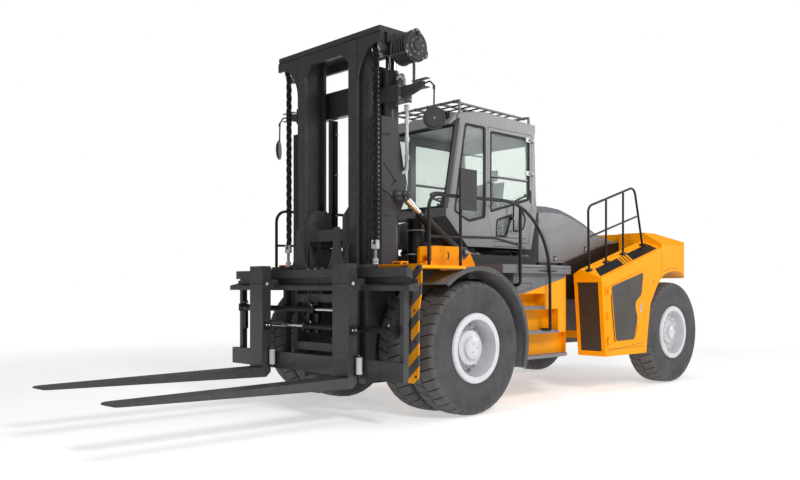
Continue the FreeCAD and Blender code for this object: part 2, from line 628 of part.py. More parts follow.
def cabinet_roof_z(x, y):
    """Height of a cabinet's outer roof slab."""
    edge = CABINET_FRONT_TOP + CABINET_SLOPE * (y - CABINET_FRONT)
    share = (BODY_HALF_W - CABINET_WALL - x) / (BODY_HALF_W - CABINET_WALL - CABINET_RIDGE_X)
    return edge + 12 + (CABINET_BEVEL - 12) * share


def rear_handrails():
    x = BODY_HALF_W - 230
    feet_y = (2640.0, 3060.0, 3500.0, 4030.0)
    foot = [cabinet_roof_z(x, y) for y in feet_y]
    lean = 230.0
    top_front = foot[0] + 870
    top_rear = foot[3] + 840
    hoop = bent_tube([(x, feet_y[0], foot[0]), (x, feet_y[0] - 20, top_front),
                      (x, feet_y[3] - lean, top_rear), (x, feet_y[3], foot[3])], RAIL_R - 3, 110)
    grade = (top_rear - top_front) / (feet_y[3] - lean - feet_y[0] + 20)
    pieces = [hoop]
    for y, z in zip(feet_y[1:3], foot[1:3]):
        pieces.append(rod((x, y, z), (x, y, top_front + grade * (y - feet_y[0] + 20)), RAIL_R - 4))
    pieces.append(rod((x, feet_y[0] - 10, foot[0] + 455), (x, feet_y[3] - lean / 2, foot[3] + 430),
                      RAIL_R - 6))
    for y, z in zip(feet_y, foot):
        pieces.append(plate([(y - 45, cabinet_roof_z(x, y - 45)), (y + 45, cabinet_roof_z(x, y + 45)),
                             (y + 45, z + 34), (y - 45, z + 14)], "x", x - 30, x + 30))
    rail = fuse(*pieces)
    fall = (CABINET_BEVEL - 12) / (BODY_HALF_W - CABINET_WALL - CABINET_RIDGE_X)
    roof = cabinet_roof(CABINET_RIDGE_X - 40, BODY_HALF_W, CABINET_BEVEL + 40 * fall,
                        12 - CABINET_WALL * fall, 60)
    put("rear_handrails", both(cut(rail, roof)))


# ---- hood -----------------------------------------------------------------------------------------
HOOD_CREST_HALF_W = 400.0
HOOD_SKIN = 12.0
HOOD_HINGE = (HOOD_REAR - 2, 2094.0)
# y, height of the lower edge, of the side's upper edge and of the crest
HOOD_STATIONS = ((HOOD_FRONT, 1760, 2431, 2490), (2375, 1760, 2445, 2540), (2550, 1760, 2444, 2565),
                 (2750, 1760, 2437, 2571), (3056, 1845, 2366, 2550), (3372, 1932, 2260, 2475),
                 (3700, 2023, 2130, 2370), (3850, 2052, 2082, 2305), (HOOD_REAR, 2104, 2114, 2123))


def hood_outline(inset, drop, ends):
    """The hood's bulk, smaller by an inset; its lower face lies lower by a drop."""
    sections = []
    for y, low, side, crest in HOOD_STATIONS:
        if y == HOOD_FRONT:
            y += ends
        if y == HOOD_REAR:
            y -= ends
        w = HOOD_HALF_W - inset
        c = HOOD_CREST_HALF_W - inset / 2
        corners = [V(-w, y, low - drop), V(w, y, low - drop), V(w, y, side - inset), V(c, y, crest - inset),
                   V(-c, y, crest - inset), V(-w, y, side - inset)]
        sections.append(Part.makePolygon(corners + corners[:1]))
    return Part.makeLoft(sections, True, True)


def hood_lower(drop, deep):
    """Everything below the hood's lower edge."""
    line = [(y, low - drop) for y, low, side, crest in HOOD_STATIONS]
    return [(HOOD_FRONT, deep)] + line + [(HOOD_REAR, deep)]


def hood():
    y, z = HOOD_HINGE
    shell = cut(hood_outline(0, 0, 0), hood_outline(HOOD_SKIN, 60, HOOD_SKIN))
    brace = box(-HOOD_HALF_W + 2, HOOD_HALF_W - 2, 2800, 2840, 2380, 2420)
    notch = box(422, 528, HOOD_REAR - 70, HOOD_REAR + 1, 2000, z + 24)
    lug = plate([(y - 48, z - 14), (y + 8, z - 14), (y + 13, z + 2), (y + 4, z + 14), (y, z + 26),
                 (y - 10, z + 28), (y - 48, z + 36)], "x", 450, 500)
    whole = fuse(cut(shell, notch, flip(notch)), brace, lug, flip(lug))
    bore = disc_x(y, z, 10 + SEAT, 449, 501)
    put("hood", cut(whole, bore, flip(bore)))
    w = HOOD_HALF_W
    side = plate(hood_lower(CLEAR, FRAME_Z[1]), "x", w - 20, w)
    side = cut(side, box(w - 30, w + 10, 3600, HOOD_REAR + 1, FRAME_Z[1] - 1, CW_BOTTOM),
               box(w - 30, w + 10, HOOD_REAR - 20, HOOD_REAR + 1, CW_BOTTOM, CW_TOP))
    flange = box(FRAME_X[0], w, HOOD_FRONT, FRAME_REAR - 70, FRAME_Z[1], FRAME_Z[1] + 25)
    front = box(-w, w, HOOD_FRONT, HOOD_FRONT + 20, FRAME_Z[1] + 25, 1750)
    foot = box(w - 60, w, 3900, HOOD_REAR, CW_BOTTOM, CW_BOTTOM + 25)
    rear = box(-w, w, HOOD_REAR - 130, HOOD_REAR - 110, CW_BOTTOM, 2040)
    ear = plate([(y - 110, 1990), (y - 60, 1990), (y + 12, z - 24), (y + 16, z + 4), (y, z + 14),
                 (y - 14, z + 8), (y - 110, 2040)], "x", 430, 445)
    ears = fuse(ear, ear.translated(V(75, 0, 0)), disc_x(y, z, 10, 430, 520))
    half = fuse(side, flange, foot, ears)
    put("hood_base", fuse(half, flip(half), front, rear))


# ---- air cleaner ----------------------------------------------------------------------------------
CANISTER = (655.0, -120.0)         # x and y of its axis, beside the cab's front corner


def air_cleaner():
    x, y = CANISTER
    body = rod((x, y, 1700), (x, y, 2180), 100)
    cap = rod((x, y, 2180), (x, y, 2215), 106)
    skirt = rod((x, y, 1680), (x, y, 1700), 92)
    shelf = box(x - 130, x + 130, y - 120, BRIDGE_Y[1], 1655, 1680)
    leg = box(x - 60, x + 60, BRIDGE_Y[0], BRIDGE_Y[1], BRIDGE_Z[1], 1655)
    pipe = bent_tube([(x, y + 60, 1900), (x, y + 260, 1900), (x - 200, y + 330, 1760)], 45, 80)
    put("air_cleaner", fuse(body, cap, skirt, shelf, leg, pipe))


# ---- cab ------------------------------------------------------------------------------------------
CAB_WALL = 40.0
CAB_SIDE = [(743, CAB_FLOOR), (2023, CAB_FLOOR), (CAB_REAR, 2450), (2129, 2600), (2094, CAB_ROOF_LOW),
            (603, CAB_ROOF_LOW), (384, 2368), (CAB_FRONT, 2368), (CAB_FRONT, 2276)]
QUARTER_PANE = [(700, 3440), (1080, 3440), (1080, 2302), (770, 2232), (500, 2345)]
DOOR_OUTLINE = [(DOOR_FRONT, 3450), (DOOR_FRONT, 2300), (1240, 2005), (1960, 2005), (2025, 2300),
                (2025, 3450)]
DOOR_UPPER_PANE = [(1180, 3405), (1180, 2375), (1630, 2490), (1985, 2585), (1985, 3405)]
DOOR_LOWER_PANE = [(1300, 2290), (1290, 2070), (1500, 2070), (1625, 2375)]
SCREEN_HALF_W = CAB_HALF_W - 80
REAR_PANE = (CAB_HALF_W - 130, 2620.0, 3330.0)    # half width, lower and upper edge
DOOR_HINGE = (CAB_HALF_W + 18, DOOR_REAR + 10)
DOOR_HINGE_Z = (2939.0, 3384.0)


def grown(points, amount):
    """The outline moved outwards all round, with square corners."""
    wire = Part.makePolygon([V(a, b, 0) for a, b in points + points[:1]])
    wide = Part.Face(wire).makeOffset2D(amount, 2, False, False, True)
    return [(v.X, v.Y) for v in wide.OuterWire.OrderedVertexes]


def cab_base():
    """The box under the cab, and the four rubber mounts that the cab stands on."""
    w = CAB_HALF_W
    y0, y1 = 560, 2150
    side = box(w - 25, w, y0, y1, FRAME_Z[1], 1830)
    flange = box(FRAME_X[0], w, y0, y1, FRAME_Z[1], FRAME_Z[1] + 25)
    ends = [box(-w, w, y, y + 25, FRAME_Z[1], 1830) for y in (y0, y1 - 25)]
    top = box(-w, w, y0, y1, 1800, 1830)
    tie = box(w - 10, WALK_IN, 900, 1800, WALK_Z[0] + 10, WALK_Z[1] - 10)
    mounts = []
    for x in (-560, 560):
        for y in (900, 1900):
            mounts.append(rod((x, y, 1830), (x, y, CAB_FLOOR), 62))
            mounts.append(rod((x, y, 1850), (x, y, 1900), 78))
    half = fuse(side, flange, tie)
    put("cab_base", fuse(half, flip(half), *ends, top, *mounts))


def cab_frame():
    w = CAB_HALF_W
    side = plate(CAB_SIDE, "x", w - CAB_WALL, w)
    side = cut(side, plate(QUARTER_PANE, "x", w - CAB_WALL - 1, w + 1),
               plate(grown(DOOR_OUTLINE, CLEAR), "x", w - CAB_WALL - 1, w + 1))
    floor = box(-w, w, 740, 2020, CAB_FLOOR, CAB_FLOOR + 35)
    sill = plate([(743, CAB_FLOOR), (CAB_FRONT, 2276), (CAB_FRONT, 2368), (430, 2368), (400, 2300),
                  (780, 1961)], "x", -w, w)
    front = plate([(384, 2367), (603, CAB_ROOF_LOW), (648, CAB_ROOF_LOW), (429, 2367)], "x", -w, w)
    front = cut(front, box(-SCREEN_HALF_W, SCREEN_HALF_W, 300, 700, 2400, 3410))
    lower_pane = plate([(-480, 2000), (480, 2000), (480, 2250), (-480, 2250)], "y", 340, 760)
    sill = cut(sill, lower_pane)
    rear = plate([(2023, CAB_FLOOR), (CAB_REAR, 2450), (2129, 2600), (2094, CAB_ROOF_LOW),
                  (2058, CAB_ROOF_LOW), (2092, 2600), (2110, 2460), (1985, CAB_FLOOR)], "x", -w, w)
    half_w, low, high = REAR_PANE
    rear = cut(rear, box(-half_w, half_w, 1900, 2200, low, high))
    y, z = DOOR_HINGE[1], DOOR_HINGE_Z
    pins = [rod((DOOR_HINGE[0], y, h - 32), (DOOR_HINGE[0], y, h + 28), 6) for h in z]
    plates = [box(w - 2, DOOR_HINGE[0] + 10, y - 4, y + 20, h - 32, h - 20 - SEAT) for h in z]
    bar = rod((w - 9, 625, 3060), (w - 9, 1084, 3060), 8)
    half = fuse(side, *pins, *plates, bar)
    put("cab_frame", fuse(half, flip(half), floor, sill, front, rear))


def cab_roof():
    """The roof, its front visor, and the bars that guard it from above."""
    w = CAB_HALF_W
    panel = plate([(560, CAB_ROOF_LOW), (2112, CAB_ROOF_LOW), (2112, 3600), (1060, 3630), (600, 3560)],
                  "x", -w, w)
    panel = cut(panel, box(-w + 60, w - 60, 760, 1960, 3560, 3700))
    visor = plate([(425, 3405), (445, 3400), (600, 3500), (600, 3560), (560, 3560)], "x", -w + 20, w - 20)
    lift = 3718
    bars = []
    for x in (-560, -336, -112, 112, 336, 560):
        bars.append(rod((x, 640, lift), (x, 2020, lift - 20), 15))
    for y, z in ((640, lift), (2020, lift - 20)):
        bars.append(rod((-w + 40, y, z), (w - 40, y, z), 17))
        for x in (-w + 40, w - 40):
            bars.append(rod((x, y, 3500), (x, y, z), 17))
    put("cab_roof", fuse(panel, visor, *bars))


def cab_glass():
    """The fixed panes, one in each opening of the cab."""
    half_w, low, high = REAR_PANE
    w = SCREEN_HALF_W - SEAT
    front = plate([(388, 2300), (620, 3460), (626, 3460), (394, 2300)], "x", -w, w)
    front = front.common(box(-w, w, 300, 700, 2400 + SEAT, 3410 - SEAT)).translated(V(0, 22, 0))
    w = half_w - SEAT
    rear = plate([(2114, 2600), (2079, 3490), (2085, 3490), (2120, 2600)], "x", -w, w)
    rear = rear.common(box(-w, w, 2000, 2200, low + SEAT, high - SEAT))
    quarter = plate(grown(QUARTER_PANE, -SEAT), "x", CAB_HALF_W - 24, CAB_HALF_W - 18)
    put("cab_glass", front, rear, both(quarter))


def cab_doors():
    """The two side doors, hinged at their rear edge, and the panes in them."""
    w = CAB_HALF_W
    x, y = DOOR_HINGE
    leaf = plate(DOOR_OUTLINE, "x", w - 35, w)
    leaf = cut(leaf, plate(DOOR_UPPER_PANE, "x", w - 36, w + 1), plate(DOOR_LOWER_PANE, "x", w - 36, w + 1))
    pieces = [leaf]
    for h in DOOR_HINGE_Z:
        pieces.append(box(w - 4, x + 6, 1975, 2024, h - 20, h + 20))
        pieces.append(box(x - 10, x + 6, 2020, y - 8, h - 20, h + 20))
        pieces.append(rod((x, y, h - 20), (x, y, h + 20), 12))
    grip = bent_tube([(w - 5, 1158, 2450), (w + 55, 1158, 2450), (w + 55, 1158, 2750), (w - 5, 1158, 2750)],
                     9, 30)
    bar = box(w - 33, w - 8, 1179, 1986, 2832, 2852)
    door = fuse(*pieces, grip, bar)
    for h in DOOR_HINGE_Z:
        door = cut(door, rod((x, y, h - 40), (x, y, h + 40), 6 + SEAT))
    upper = plate(grown(DOOR_UPPER_PANE, -SEAT), "x", w - 24, w - 18)
    upper = cut(upper, box(w - 34, w - 7, 1170, 1990, 2832 - SEAT, 2852 + SEAT))
    lower = plate(grown(DOOR_LOWER_PANE, -SEAT), "x", w - 24, w - 18)
    for side, sign in SIDES:
        put("cab_door_" + side, on_side(door, sign))
        put("cab_door_glass_" + side, on_side(upper, sign), on_side(lower, sign))


def seat():
    floor = CAB_FLOOR + 35
    base = box(-170, 170, 1480, 1880, floor, 2110)
    cushion = box(-255, 255, 1400, 1900, 2110, 2250)
    back = plate([(1830, 2200), (1940, 2200), (2035, 2880), (1960, 2890)], "x", -245, 245)
    head = plate([(1962, 2880), (2038, 2880), (2050, 3040), (1985, 3045)], "x", -130, 130)
    arms = [box(x - 35, x + 35, 1480, 1900, 2400, 2450) for x in (-290, 290)]
    posts = [box(x - 12, x + 12, 1860, 1900, 2230, 2410) for x in (-266, 266)]
    put("seat", fuse(base, cushion, back, head, *arms, *posts))


def controls():
    """Steering column and wheel, instrument panel and the lever console beside the seat."""
    floor = CAB_FLOOR + 35
    column = cut(rod((0, 860, floor), (0, 1060, 2600), 45), box(-60, 60, 800, 920, floor - 60, floor))
    hub_at = V(0, 1060, 2600)
    lean = V(0, 200, 639)
    wheel = Part.makeTorus(185, 15, hub_at, lean)
    spokes = [rod((-180, 1060, 2600), (180, 1060, 2600), 11),
              Part.makeCylinder(42, 34, hub_at - lean.normalize() * 20, V(0, 200, 639))]
    panel = plate([(700, 2290), (860, 2290), (800, 2430), (740, 2460)], "x", -260, 260)
    stand = box(-120, 120, 790, 870, floor, 2310)
    console = box(-520, -360, 1380, 1800, floor, 2400)
    levers = []
    for y in (1430, 1500, 1570):
        levers.append(rod((-440, y, 2395), (-440, y - 30, 2560), 8))
        levers.append(Part.makeSphere(20, V(-440, y - 30, 2565)))
    put("controls", fuse(column, wheel, *spokes, panel, stand), fuse(console, *levers))


def cab_mirrors():
    """The two large mirrors, each clamped to the top rail of a front handrail."""
    x0 = RAIL_X + RAIL_R + SEAT
    shell = box(x0, x0 + 28, -205, 65, 2270, 2720)
    back = box(x0 - 12, x0, -180, 40, 2470, 2690)
    rail = rod((RAIL_X, *RAIL_FRONT), (RAIL_X, *RAIL_REAR), RAIL_R + SEAT)
    clamp = box(RAIL_X - RAIL_R - 14, x0, -90, -50, 2380, 2475)
    put("cab_mirrors", both(cut(fuse(shell, back, clamp), rail)))


# ---- mast -----------------------------------------------------------------------------------------
LIFT_X = 700.0
LIFT_Y = -560.0
BARREL_R = 85.0
LIFT_ROD_R = 60.0
INNER_FRONT_FLANGE = (MAST_FRONT, MAST_FRONT + RAIL_FLANGE)
INNER_REAR_FLANGE = (-640.0, -604.0)
INNER_RAIL_Z = (420.0, 4180.0)
OUTER_FRONT_FLANGE = (-860.0, -824.0)
OUTER_REAR_FLANGE = (-566.0, -530.0)
OUTER_RAIL_Z = (350.0, 3900.0)
OUTER_TIP = 500.0
SHEAVE_Y = -783.0
SHEAVE_Z = 4060.0
SHEAVE_R = 100.0
CHAIN_X = 800.0
ROLLER_R = 90.0


def outer_rails():
    """Two channels that open inwards, each with its foot lug on the frame's pivot pin."""
    z0, z1 = OUTER_RAIL_Z
    x1 = OUTER_RAIL_OUT
    web = box(x1 - RAIL_WEB, x1, OUTER_FRONT_FLANGE[0], OUTER_REAR_FLANGE[1], z0, z1)
    flanges = [box(OUTER_TIP, x1, y0, y1, z0, z1) for y0, y1 in (OUTER_FRONT_FLANGE, OUTER_REAR_FLANGE)]
    y, z = MAST_PIVOT_Y, MAST_PIVOT_Z
    lug = fuse(box(516, x1 - 6, OUTER_REAR_FLANGE[1], y, z - 100, z + 150),
               disc_x(y, z, 95, 516, x1 - 6))
    rail = cut(fuse(web, *flanges, lug), disc_x(y, z, PIVOT_R + SEAT, 500, x1 + 1))
    put("outer_rails", both(rail))


def mast_ties():
    """Cross ties behind the rails, and the side boxes that carry the tilt eyes and the lift barrels."""
    rear = OUTER_REAR_FLANGE[1]
    low = box(-605, 605, rear, rear + 60, 800, 1000)
    mid = box(-605, 605, rear, rear + 60, 1900, 2050)
    high = box(-605, 605, rear, rear + 90, 3480, 3800)
    x = OUTER_RAIL_OUT
    wing = box(x + SEAT, 810, -800, -775, 1550, 3300)
    side = plate([(-800, 1550), (-598, 1550), (-575, 2220), (-516, 2270), (-420, 2450), (-432, 2590),
                  (-516, 3020), (-563, 3260), (-580, 3300), (-800, 3300)], "x", 785, 810)
    y, z = TILT_EYE
    boss = disc_x(y, z, 75, 785, TILT_X - 50)
    pin = disc_x(y, z, TILT_EYE_PIN_R, 785, TILT_X + 60)
    cap = disc_x(y, z, 48, TILT_X + 50, TILT_X + 62)
    foot = box(x + SEAT, 785, -660, -470, 1470, 1500)
    foot_web = cut(box(x + SEAT, 640, -800, -470, 1380, 1560),
                   rod((LIFT_X, LIFT_Y, 1500), (LIFT_X, LIFT_Y, 1600), BARREL_R + SEAT))
    arm = box(x + SEAT, 920, -660, -460, 3480, 3650)
    lug = plate([(-640, 3650), (-560, 3650), (-560, 3700), (-600, 3730), (-640, 3700)], "x", 880, 905)
    arm = cut(arm, rod((LIFT_X, LIFT_Y, 3400), (LIFT_X, LIFT_Y, 3700), BARREL_R + SEAT))
    half = fuse(wing, side, boss, pin, cap, foot, foot_web, arm, lug)
    put("mast_ties", low, mid, high, both(half))


def lift_barrels():
    tube = cut(rod((LIFT_X, LIFT_Y, 1500 + SEAT), (LIFT_X, LIFT_Y, 3840), BARREL_R),
               rod((LIFT_X, LIFT_Y, 1560), (LIFT_X, LIFT_Y, 3841), LIFT_ROD_R + SEAT))
    gland = cut(rod((LIFT_X, LIFT_Y, 3690), (LIFT_X, LIFT_Y, 3840), BARREL_R + 2),
                rod((LIFT_X, LIFT_Y, 3600), (LIFT_X, LIFT_Y, 3841), LIFT_ROD_R + SEAT))
    put("lift_barrels", both(fuse(tube, gland)))


def mast_mirrors():
    """Round wide-angle mirrors on thin arms from the mast's side boxes."""
    arm = bent_tube([(910, -580, 3560), (1330, -580, 3620), (1400, -585, 3560), (1400, -590, 3330)], 9, 40)
    face = V(-0.72, 0.69, 0)
    centre = V(1416, -600, 3210)
    dish = Part.makeCylinder(122, 22, centre, face)
    dome = Part.makeCylinder(95, 14, centre - face * 14, face)
    stem = rod((1400, -590, 3345), (1411, -595, 3300), 12)
    mirror = cut(fuse(arm, dish, dome, stem), box(880, 920 + SEAT, -660, -460, 3480, 3650))
    put("mast_mirrors", both(mirror))


def inner_rails():
    """Two H rails inside the outer channels."""
    z0, z1 = INNER_RAIL_Z
    front = box(INNER_RAIL_IN, INNER_RAIL_OUT, *INNER_FRONT_FLANGE, z0, z1)
    rear = box(INNER_RAIL_IN, 493, *INNER_REAR_FLANGE, z0, z1)
    web = box(455, 455 + RAIL_WEB, INNER_FRONT_FLANGE[0], INNER_REAR_FLANGE[1], z0, z1)
    roller_z = z0 + 160
    axle = disc_x(-695, roller_z, 30, 480, 520)
    roller = disc_x(-695, roller_z, 128.7, 510, 570)
    put("inner_rails", both(fuse(front, rear, web, axle, roller)))


def sheaves():
    """Chain sheaves: a grooved wheel at the top of each lift rod."""
    groove = revolve_x([(CHAIN_X - 62, 20), (CHAIN_X - 62, SHEAVE_R + 12), (CHAIN_X - 46, SHEAVE_R + 12),
                        (CHAIN_X - 46, SHEAVE_R - 22), (CHAIN_X + 46, SHEAVE_R - 22),
                        (CHAIN_X + 46, SHEAVE_R + 12), (CHAIN_X + 62, SHEAVE_R + 12), (CHAIN_X + 62, 20)],
                       SHEAVE_Y, SHEAVE_Z)
    pin = disc_x(SHEAVE_Y, SHEAVE_Z, 20, CHAIN_X - 78, CHAIN_X + 78)
    put("sheaves", both(fuse(groove, pin)))


def top_beam():
    """The head of the inner mast: a flat beam with gussets, carried by the rails and the lift rods."""
    top = INNER_RAIL_Z[1]
    w = BEAM_HALF_W
    front = MAST_FRONT
    plate_top = box(-w, w, front, -380, top, MAST_TOP)
    web = [(-INNER_RAIL_IN, top), (-INNER_RAIL_IN, 3925), (-380, 3950), (-280, 4040), (280, 4040),
           (380, 3950), (INNER_RAIL_IN, 3925), (INNER_RAIL_IN, top)]
    arch = plate(web, "y", front, front + RAIL_FLANGE)
    curve = [(INNER_RAIL_OUT + SEAT, 3670)]
    for step in range(1, 9):
        angle = math.radians(11.25 * step)
        curve.append((875 - 330 * math.cos(angle), 3670 + 400 * math.sin(angle)))
    curve += [(935, 4070), (935, top), (INNER_RAIL_OUT + SEAT, top)]
    wing = plate(curve, "y", front, front + RAIL_FLANGE - 12)
    cheeks = []
    for x in (CHAIN_X - 90, CHAIN_X + 66):
        cheeks.append(box(x, x + 24, SHEAVE_Y - 70, SHEAVE_Y + 70, SHEAVE_Z - 70, top))
    pin_bore = disc_x(SHEAVE_Y, SHEAVE_Z, 20 + SEAT, CHAIN_X - 100, CHAIN_X + 100)
    half = cut(fuse(wing, *cheeks), pin_bore)
    rear_web = box(-w + 60, w - 60, -420, -380, top - 110, top)
    put("top_beam", fuse(plate_top, arch, half, flip(half), rear_web))


def lift_rods():
    rod_top = INNER_RAIL_Z[1] - SEAT
    put("lift_rods", both(rod((LIFT_X, LIFT_Y, 1760), (LIFT_X, LIFT_Y, rod_top), LIFT_ROD_R)))


def hose_reel():
    """The hose reel on the left end of the top beam, with its guard plate."""
    y, z = -670, 4000
    drum = revolve_x([(985, 0), (985, 170), (1005, 170), (1005, 110), (1190, 110), (1190, 170),
                      (1210, 170), (1210, 0)], y, z)
    shaft = disc_x(y, z, 28, 900, 1250)
    bracket = box(900, 940, y - 60, y + 60, z - 60, INNER_RAIL_Z[1] - SEAT)
    guard = plate([(y - 195, z - 150), (y - 195, z + 120), (y - 120, z + 195), (y + 120, z + 195),
                   (y + 195, z + 120), (y + 195, z - 150)], "x", 1222, 1228)
    ties = [rod((915, a, z + b), (1228, a, z + b), 10) for a, b in ((y - 150, 140), (y + 150, 140))]
    tie_foot = [box(905, 925, a - 14, a + 14, z + b, INNER_RAIL_Z[1] - SEAT)
                for a, b in ((y - 150, 140), (y + 150, 140))]
    put("hose_reel", fuse(drum, shaft, bracket, guard, *ties, *tie_foot))


def lift_chains():
    """The load runs of the two leaf chains, from the sheaves down to the carriage."""
    chain = box(CHAIN_X - 43, CHAIN_X + 43, SHEAVE_Y - SHEAVE_R - 4, SHEAVE_Y - SHEAVE_R + 21.7, 1920,
                SHEAVE_Z)
    put("lift_chains", both(chain))


# ---- carriage and forks ---------------------------------------------------------------------------
HOOK_RAIL = [(-1060, 1505), (-1068, 1505), (-1068, 1470), (-1189, 1440), (-1189, 1385), (-1060, 1385)]
STILE_X = (300.0, 392.0)
STILE_Z = (470.0, 2330.0)
WEB_IN = 335.0            # inner faces of the webs that join the stiles to the front


def carriage():
    top_bar = box(-1558, 1558, -1148, -1090, 1523, CARRIAGE_TOP)
    rail = plate(HOOK_RAIL, "x", -HOOK_RAIL_HALF_W, HOOK_RAIL_HALF_W)
    spine = box(-1558, 1558, -1090, -1060, 1400, CARRIAGE_TOP - 25)
    bottom = box(-CARRIAGE_HALF_W, CARRIAGE_HALF_W, -1199, -1130, CARRIAGE_BOTTOM, 662)
    bottom_back = box(-1480, 1480, -1130, -1070, CARRIAGE_BOTTOM + 30, 520)
    front = [top_bar, rail, spine, bottom, bottom_back]
    for x in (-1500, -560, 500, 1440):
        front.append(box(x, x + 60, -1130, -1060, 495, 1410))
    front = fuse(*front)
    pieces = [front]
    x0, x1 = STILE_X
    z0, z1 = STILE_Z
    for sign in (1, -1):
        stile = plate([(-935, z0), (-650, z0), (-620, z0 + 40), (-620, z1 - 90), (-680, z1), (-850, z1),
                       (-935, z1 - 110)], "x", sign * x0, sign * x1)
        web = plate([(-1090, z0 + 40), (-935, z0), (-935, 1900), (-1060, 1600), (-1090, 1560)], "x",
                    sign * WEB_IN, sign * x1)
        upright = [stile, web]
        for z in (z0 + 150, 1450, z1 - 150):
            upright.append(disc_x(-766.5, z, 30, sign * 380, sign * 452))
            upright.append(disc_x(-766.5, z, 126.2, sign * 400, sign * 450))
        bracket = box(sign * 540, sign * 860, -1090, -1040, 1597, 1640)
        shelf = box(sign * 755, sign * 845, -1090, -868, 1640, 1665)
        stud = rod((sign * CHAIN_X, -883, 1660), (sign * CHAIN_X, -883, 1850), 17)
        head = box(sign * 757, sign * 843, -902, -866, 1840, 1920 - SEAT)
        pieces.append(cut(fuse(*upright), front))
        pieces.append(cut(fuse(bracket, shelf, stud, head), front))
    for z in (700, 1250):
        pieces.append(box(-WEB_IN, WEB_IN, -1090, -1040, z, z + 90))
    for z0, z1 in ((560, 700), (1950, 2080)):
        pieces.append(box(-x0, x0, -935, -900, z0, z1))
    put("carriage", *pieces)


POSITIONER_Z = (1170.0, 980.0)


def fork_positioner():
    """Two hydraulic cylinders across the carriage; each one's rod moves one fork."""
    pieces = []
    for sign, z in zip((1, -1), POSITIONER_Z):
        barrel = cut(rod((sign * -1380, -1165, z), (sign * 100, -1165, z), 34),
                     rod((sign * -1340, -1165, z), (sign * 101, -1165, z), 20 + SEAT))
        ends = [box(sign * x, sign * (x + 40), -1200, -1130 - SEAT, z - 45, z + 45) for x in (-1420, 60)]
        ends[1] = cut(ends[1], rod((sign * 50, -1165, z), (sign * 110, -1165, z), 30))
        pieces.append(fuse(barrel, *ends))
    cross = [box(x - 30, x + 30, -1130 - SEAT, -1090, 900, 1250) for x in (-80, 80, -1400, 1400)]
    put("fork_positioner", fuse(*pieces, *cross))


def forks():
    x0 = FORK_X - FORK_W / 2
    x1 = FORK_X + FORK_W / 2
    back = FORK_FACE + FORK_THICK + 5
    blade = plate([(FORK_FACE, 363), (FORK_TIP_Y + 60, 425), (FORK_TIP_Y, 440), (FORK_TIP_Y, 446),
                   (FORK_TIP_Y + 30, 450), (FORK_FACE, FORK_HEEL_TOP)], "x", x0, x1)
    tip = cut(box(x0 - 1, x1 + 1, FORK_TIP_Y - 1, FORK_TIP_Y + 131, 400, 500),
              rod((FORK_X, FORK_TIP_Y + 130.5, 400), (FORK_X, FORK_TIP_Y + 130.5, 500), 130.5))
    blade = cut(blade, tip)
    heel = plate([(FORK_FACE, 363), (FORK_FACE + 60, 363), (back, 420), (back, FORK_TOP),
                  (FORK_FACE, FORK_TOP), (FORK_FACE, FORK_HEEL_TOP)], "x", x0, x1)
    hook = plate([(back, 1512), (-1096, 1512), (-1096, 1463.1 + SEAT), (-1189 - SEAT, 1439.9 + SEAT),
                  (-1189 - SEAT, 1385), (back, 1385)], "x", x0, x1)
    pad = box(x0, x1, back, -1199 - SEAT, 500, 640)
    fork = fuse(blade, heel, hook, pad)
    for index, (side, sign) in enumerate(SIDES):
        z = POSITIONER_Z[index]
        lug = box(FORK_X - 40, FORK_X + 40, back, -1206, z - 40, z + 40)
        lug = fuse(lug, box(FORK_X - 18, FORK_X + 18, -1207, -1140, z - 40, z + 40))
        bar = rod((-620, -1165, z), (FORK_X + 10, -1165, z), 20)
        put("fork_" + side, on_side(fuse(fork, lug), sign))
        put("positioner_rod_" + side, on_side(cut(bar, lug), sign))


# ---- tilt cylinders -------------------------------------------------------------------------------
def tilt_cylinders():
    """Barrel from its rear pin in the bracket, rod to the eye on the mast's pin."""
    y0, z0 = TILT_BRACKET
    y1, z1 = TILT_EYE
    length = math.hypot(y1 - y0, z1 - z0)

    def along(distance):
        share = distance / length
        return (TILT_X, y0 + (y1 - y0) * share, z0 + (z1 - z0) * share)

    eye = disc_x(y0, z0, 62, TILT_X - 60, TILT_X + 60)
    tube = rod(along(40), along(0.70 * length), 62)
    collar = rod(along(0.66 * length), along(0.70 * length), 70)
    bore = rod(along(110), along(length), 30 + SEAT)
    barrel = cut(fuse(eye, tube, collar), bore, disc_x(y0, z0, TILT_PIN_R + SEAT, TILT_X - 61, TILT_X + 61))
    stem = rod(along(0.42 * length), along(length - 60), 30)
    clevis = rod(along(length - 165), along(length - 20), 44)
    head = disc_x(y1, z1, 58, TILT_X - 40, TILT_X + 40)
    piston = cut(fuse(stem, clevis, head), disc_x(y1, z1, TILT_EYE_BORE_R, TILT_X - 50, TILT_X + 50))
    for side, sign in SIDES:
        put("tilt_barrel_" + side, on_side(barrel, sign))
        put("tilt_rod_" + side, on_side(piston, sign))


# ---- write every node -----------------------------------------------------------------------------
for write in (front_wheels, rear_wheels, front_axle, steer_axle, knuckles, chassis_frame, engine,
              counterweight, front_decks, guard_plates, fenders, body_sides, steps, cabinets,
              cabinet_doors, front_handrails, rear_handrails, hood, air_cleaner, cab_base, cab_frame,
              cab_roof, cab_glass, cab_doors, seat, controls, cab_mirrors, outer_rails, mast_ties,
              lift_barrels, mast_mirrors, inner_rails, sheaves, top_beam, lift_rods, hose_reel,
              lift_chains, carriage, fork_positioner, forks, tilt_cylinders):
    write()
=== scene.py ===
from itertools import product
from math import asin, cos, exp, hypot, pi, radians, sin, sqrt

import bmesh
import bpy
from mathutils import Matrix, Vector


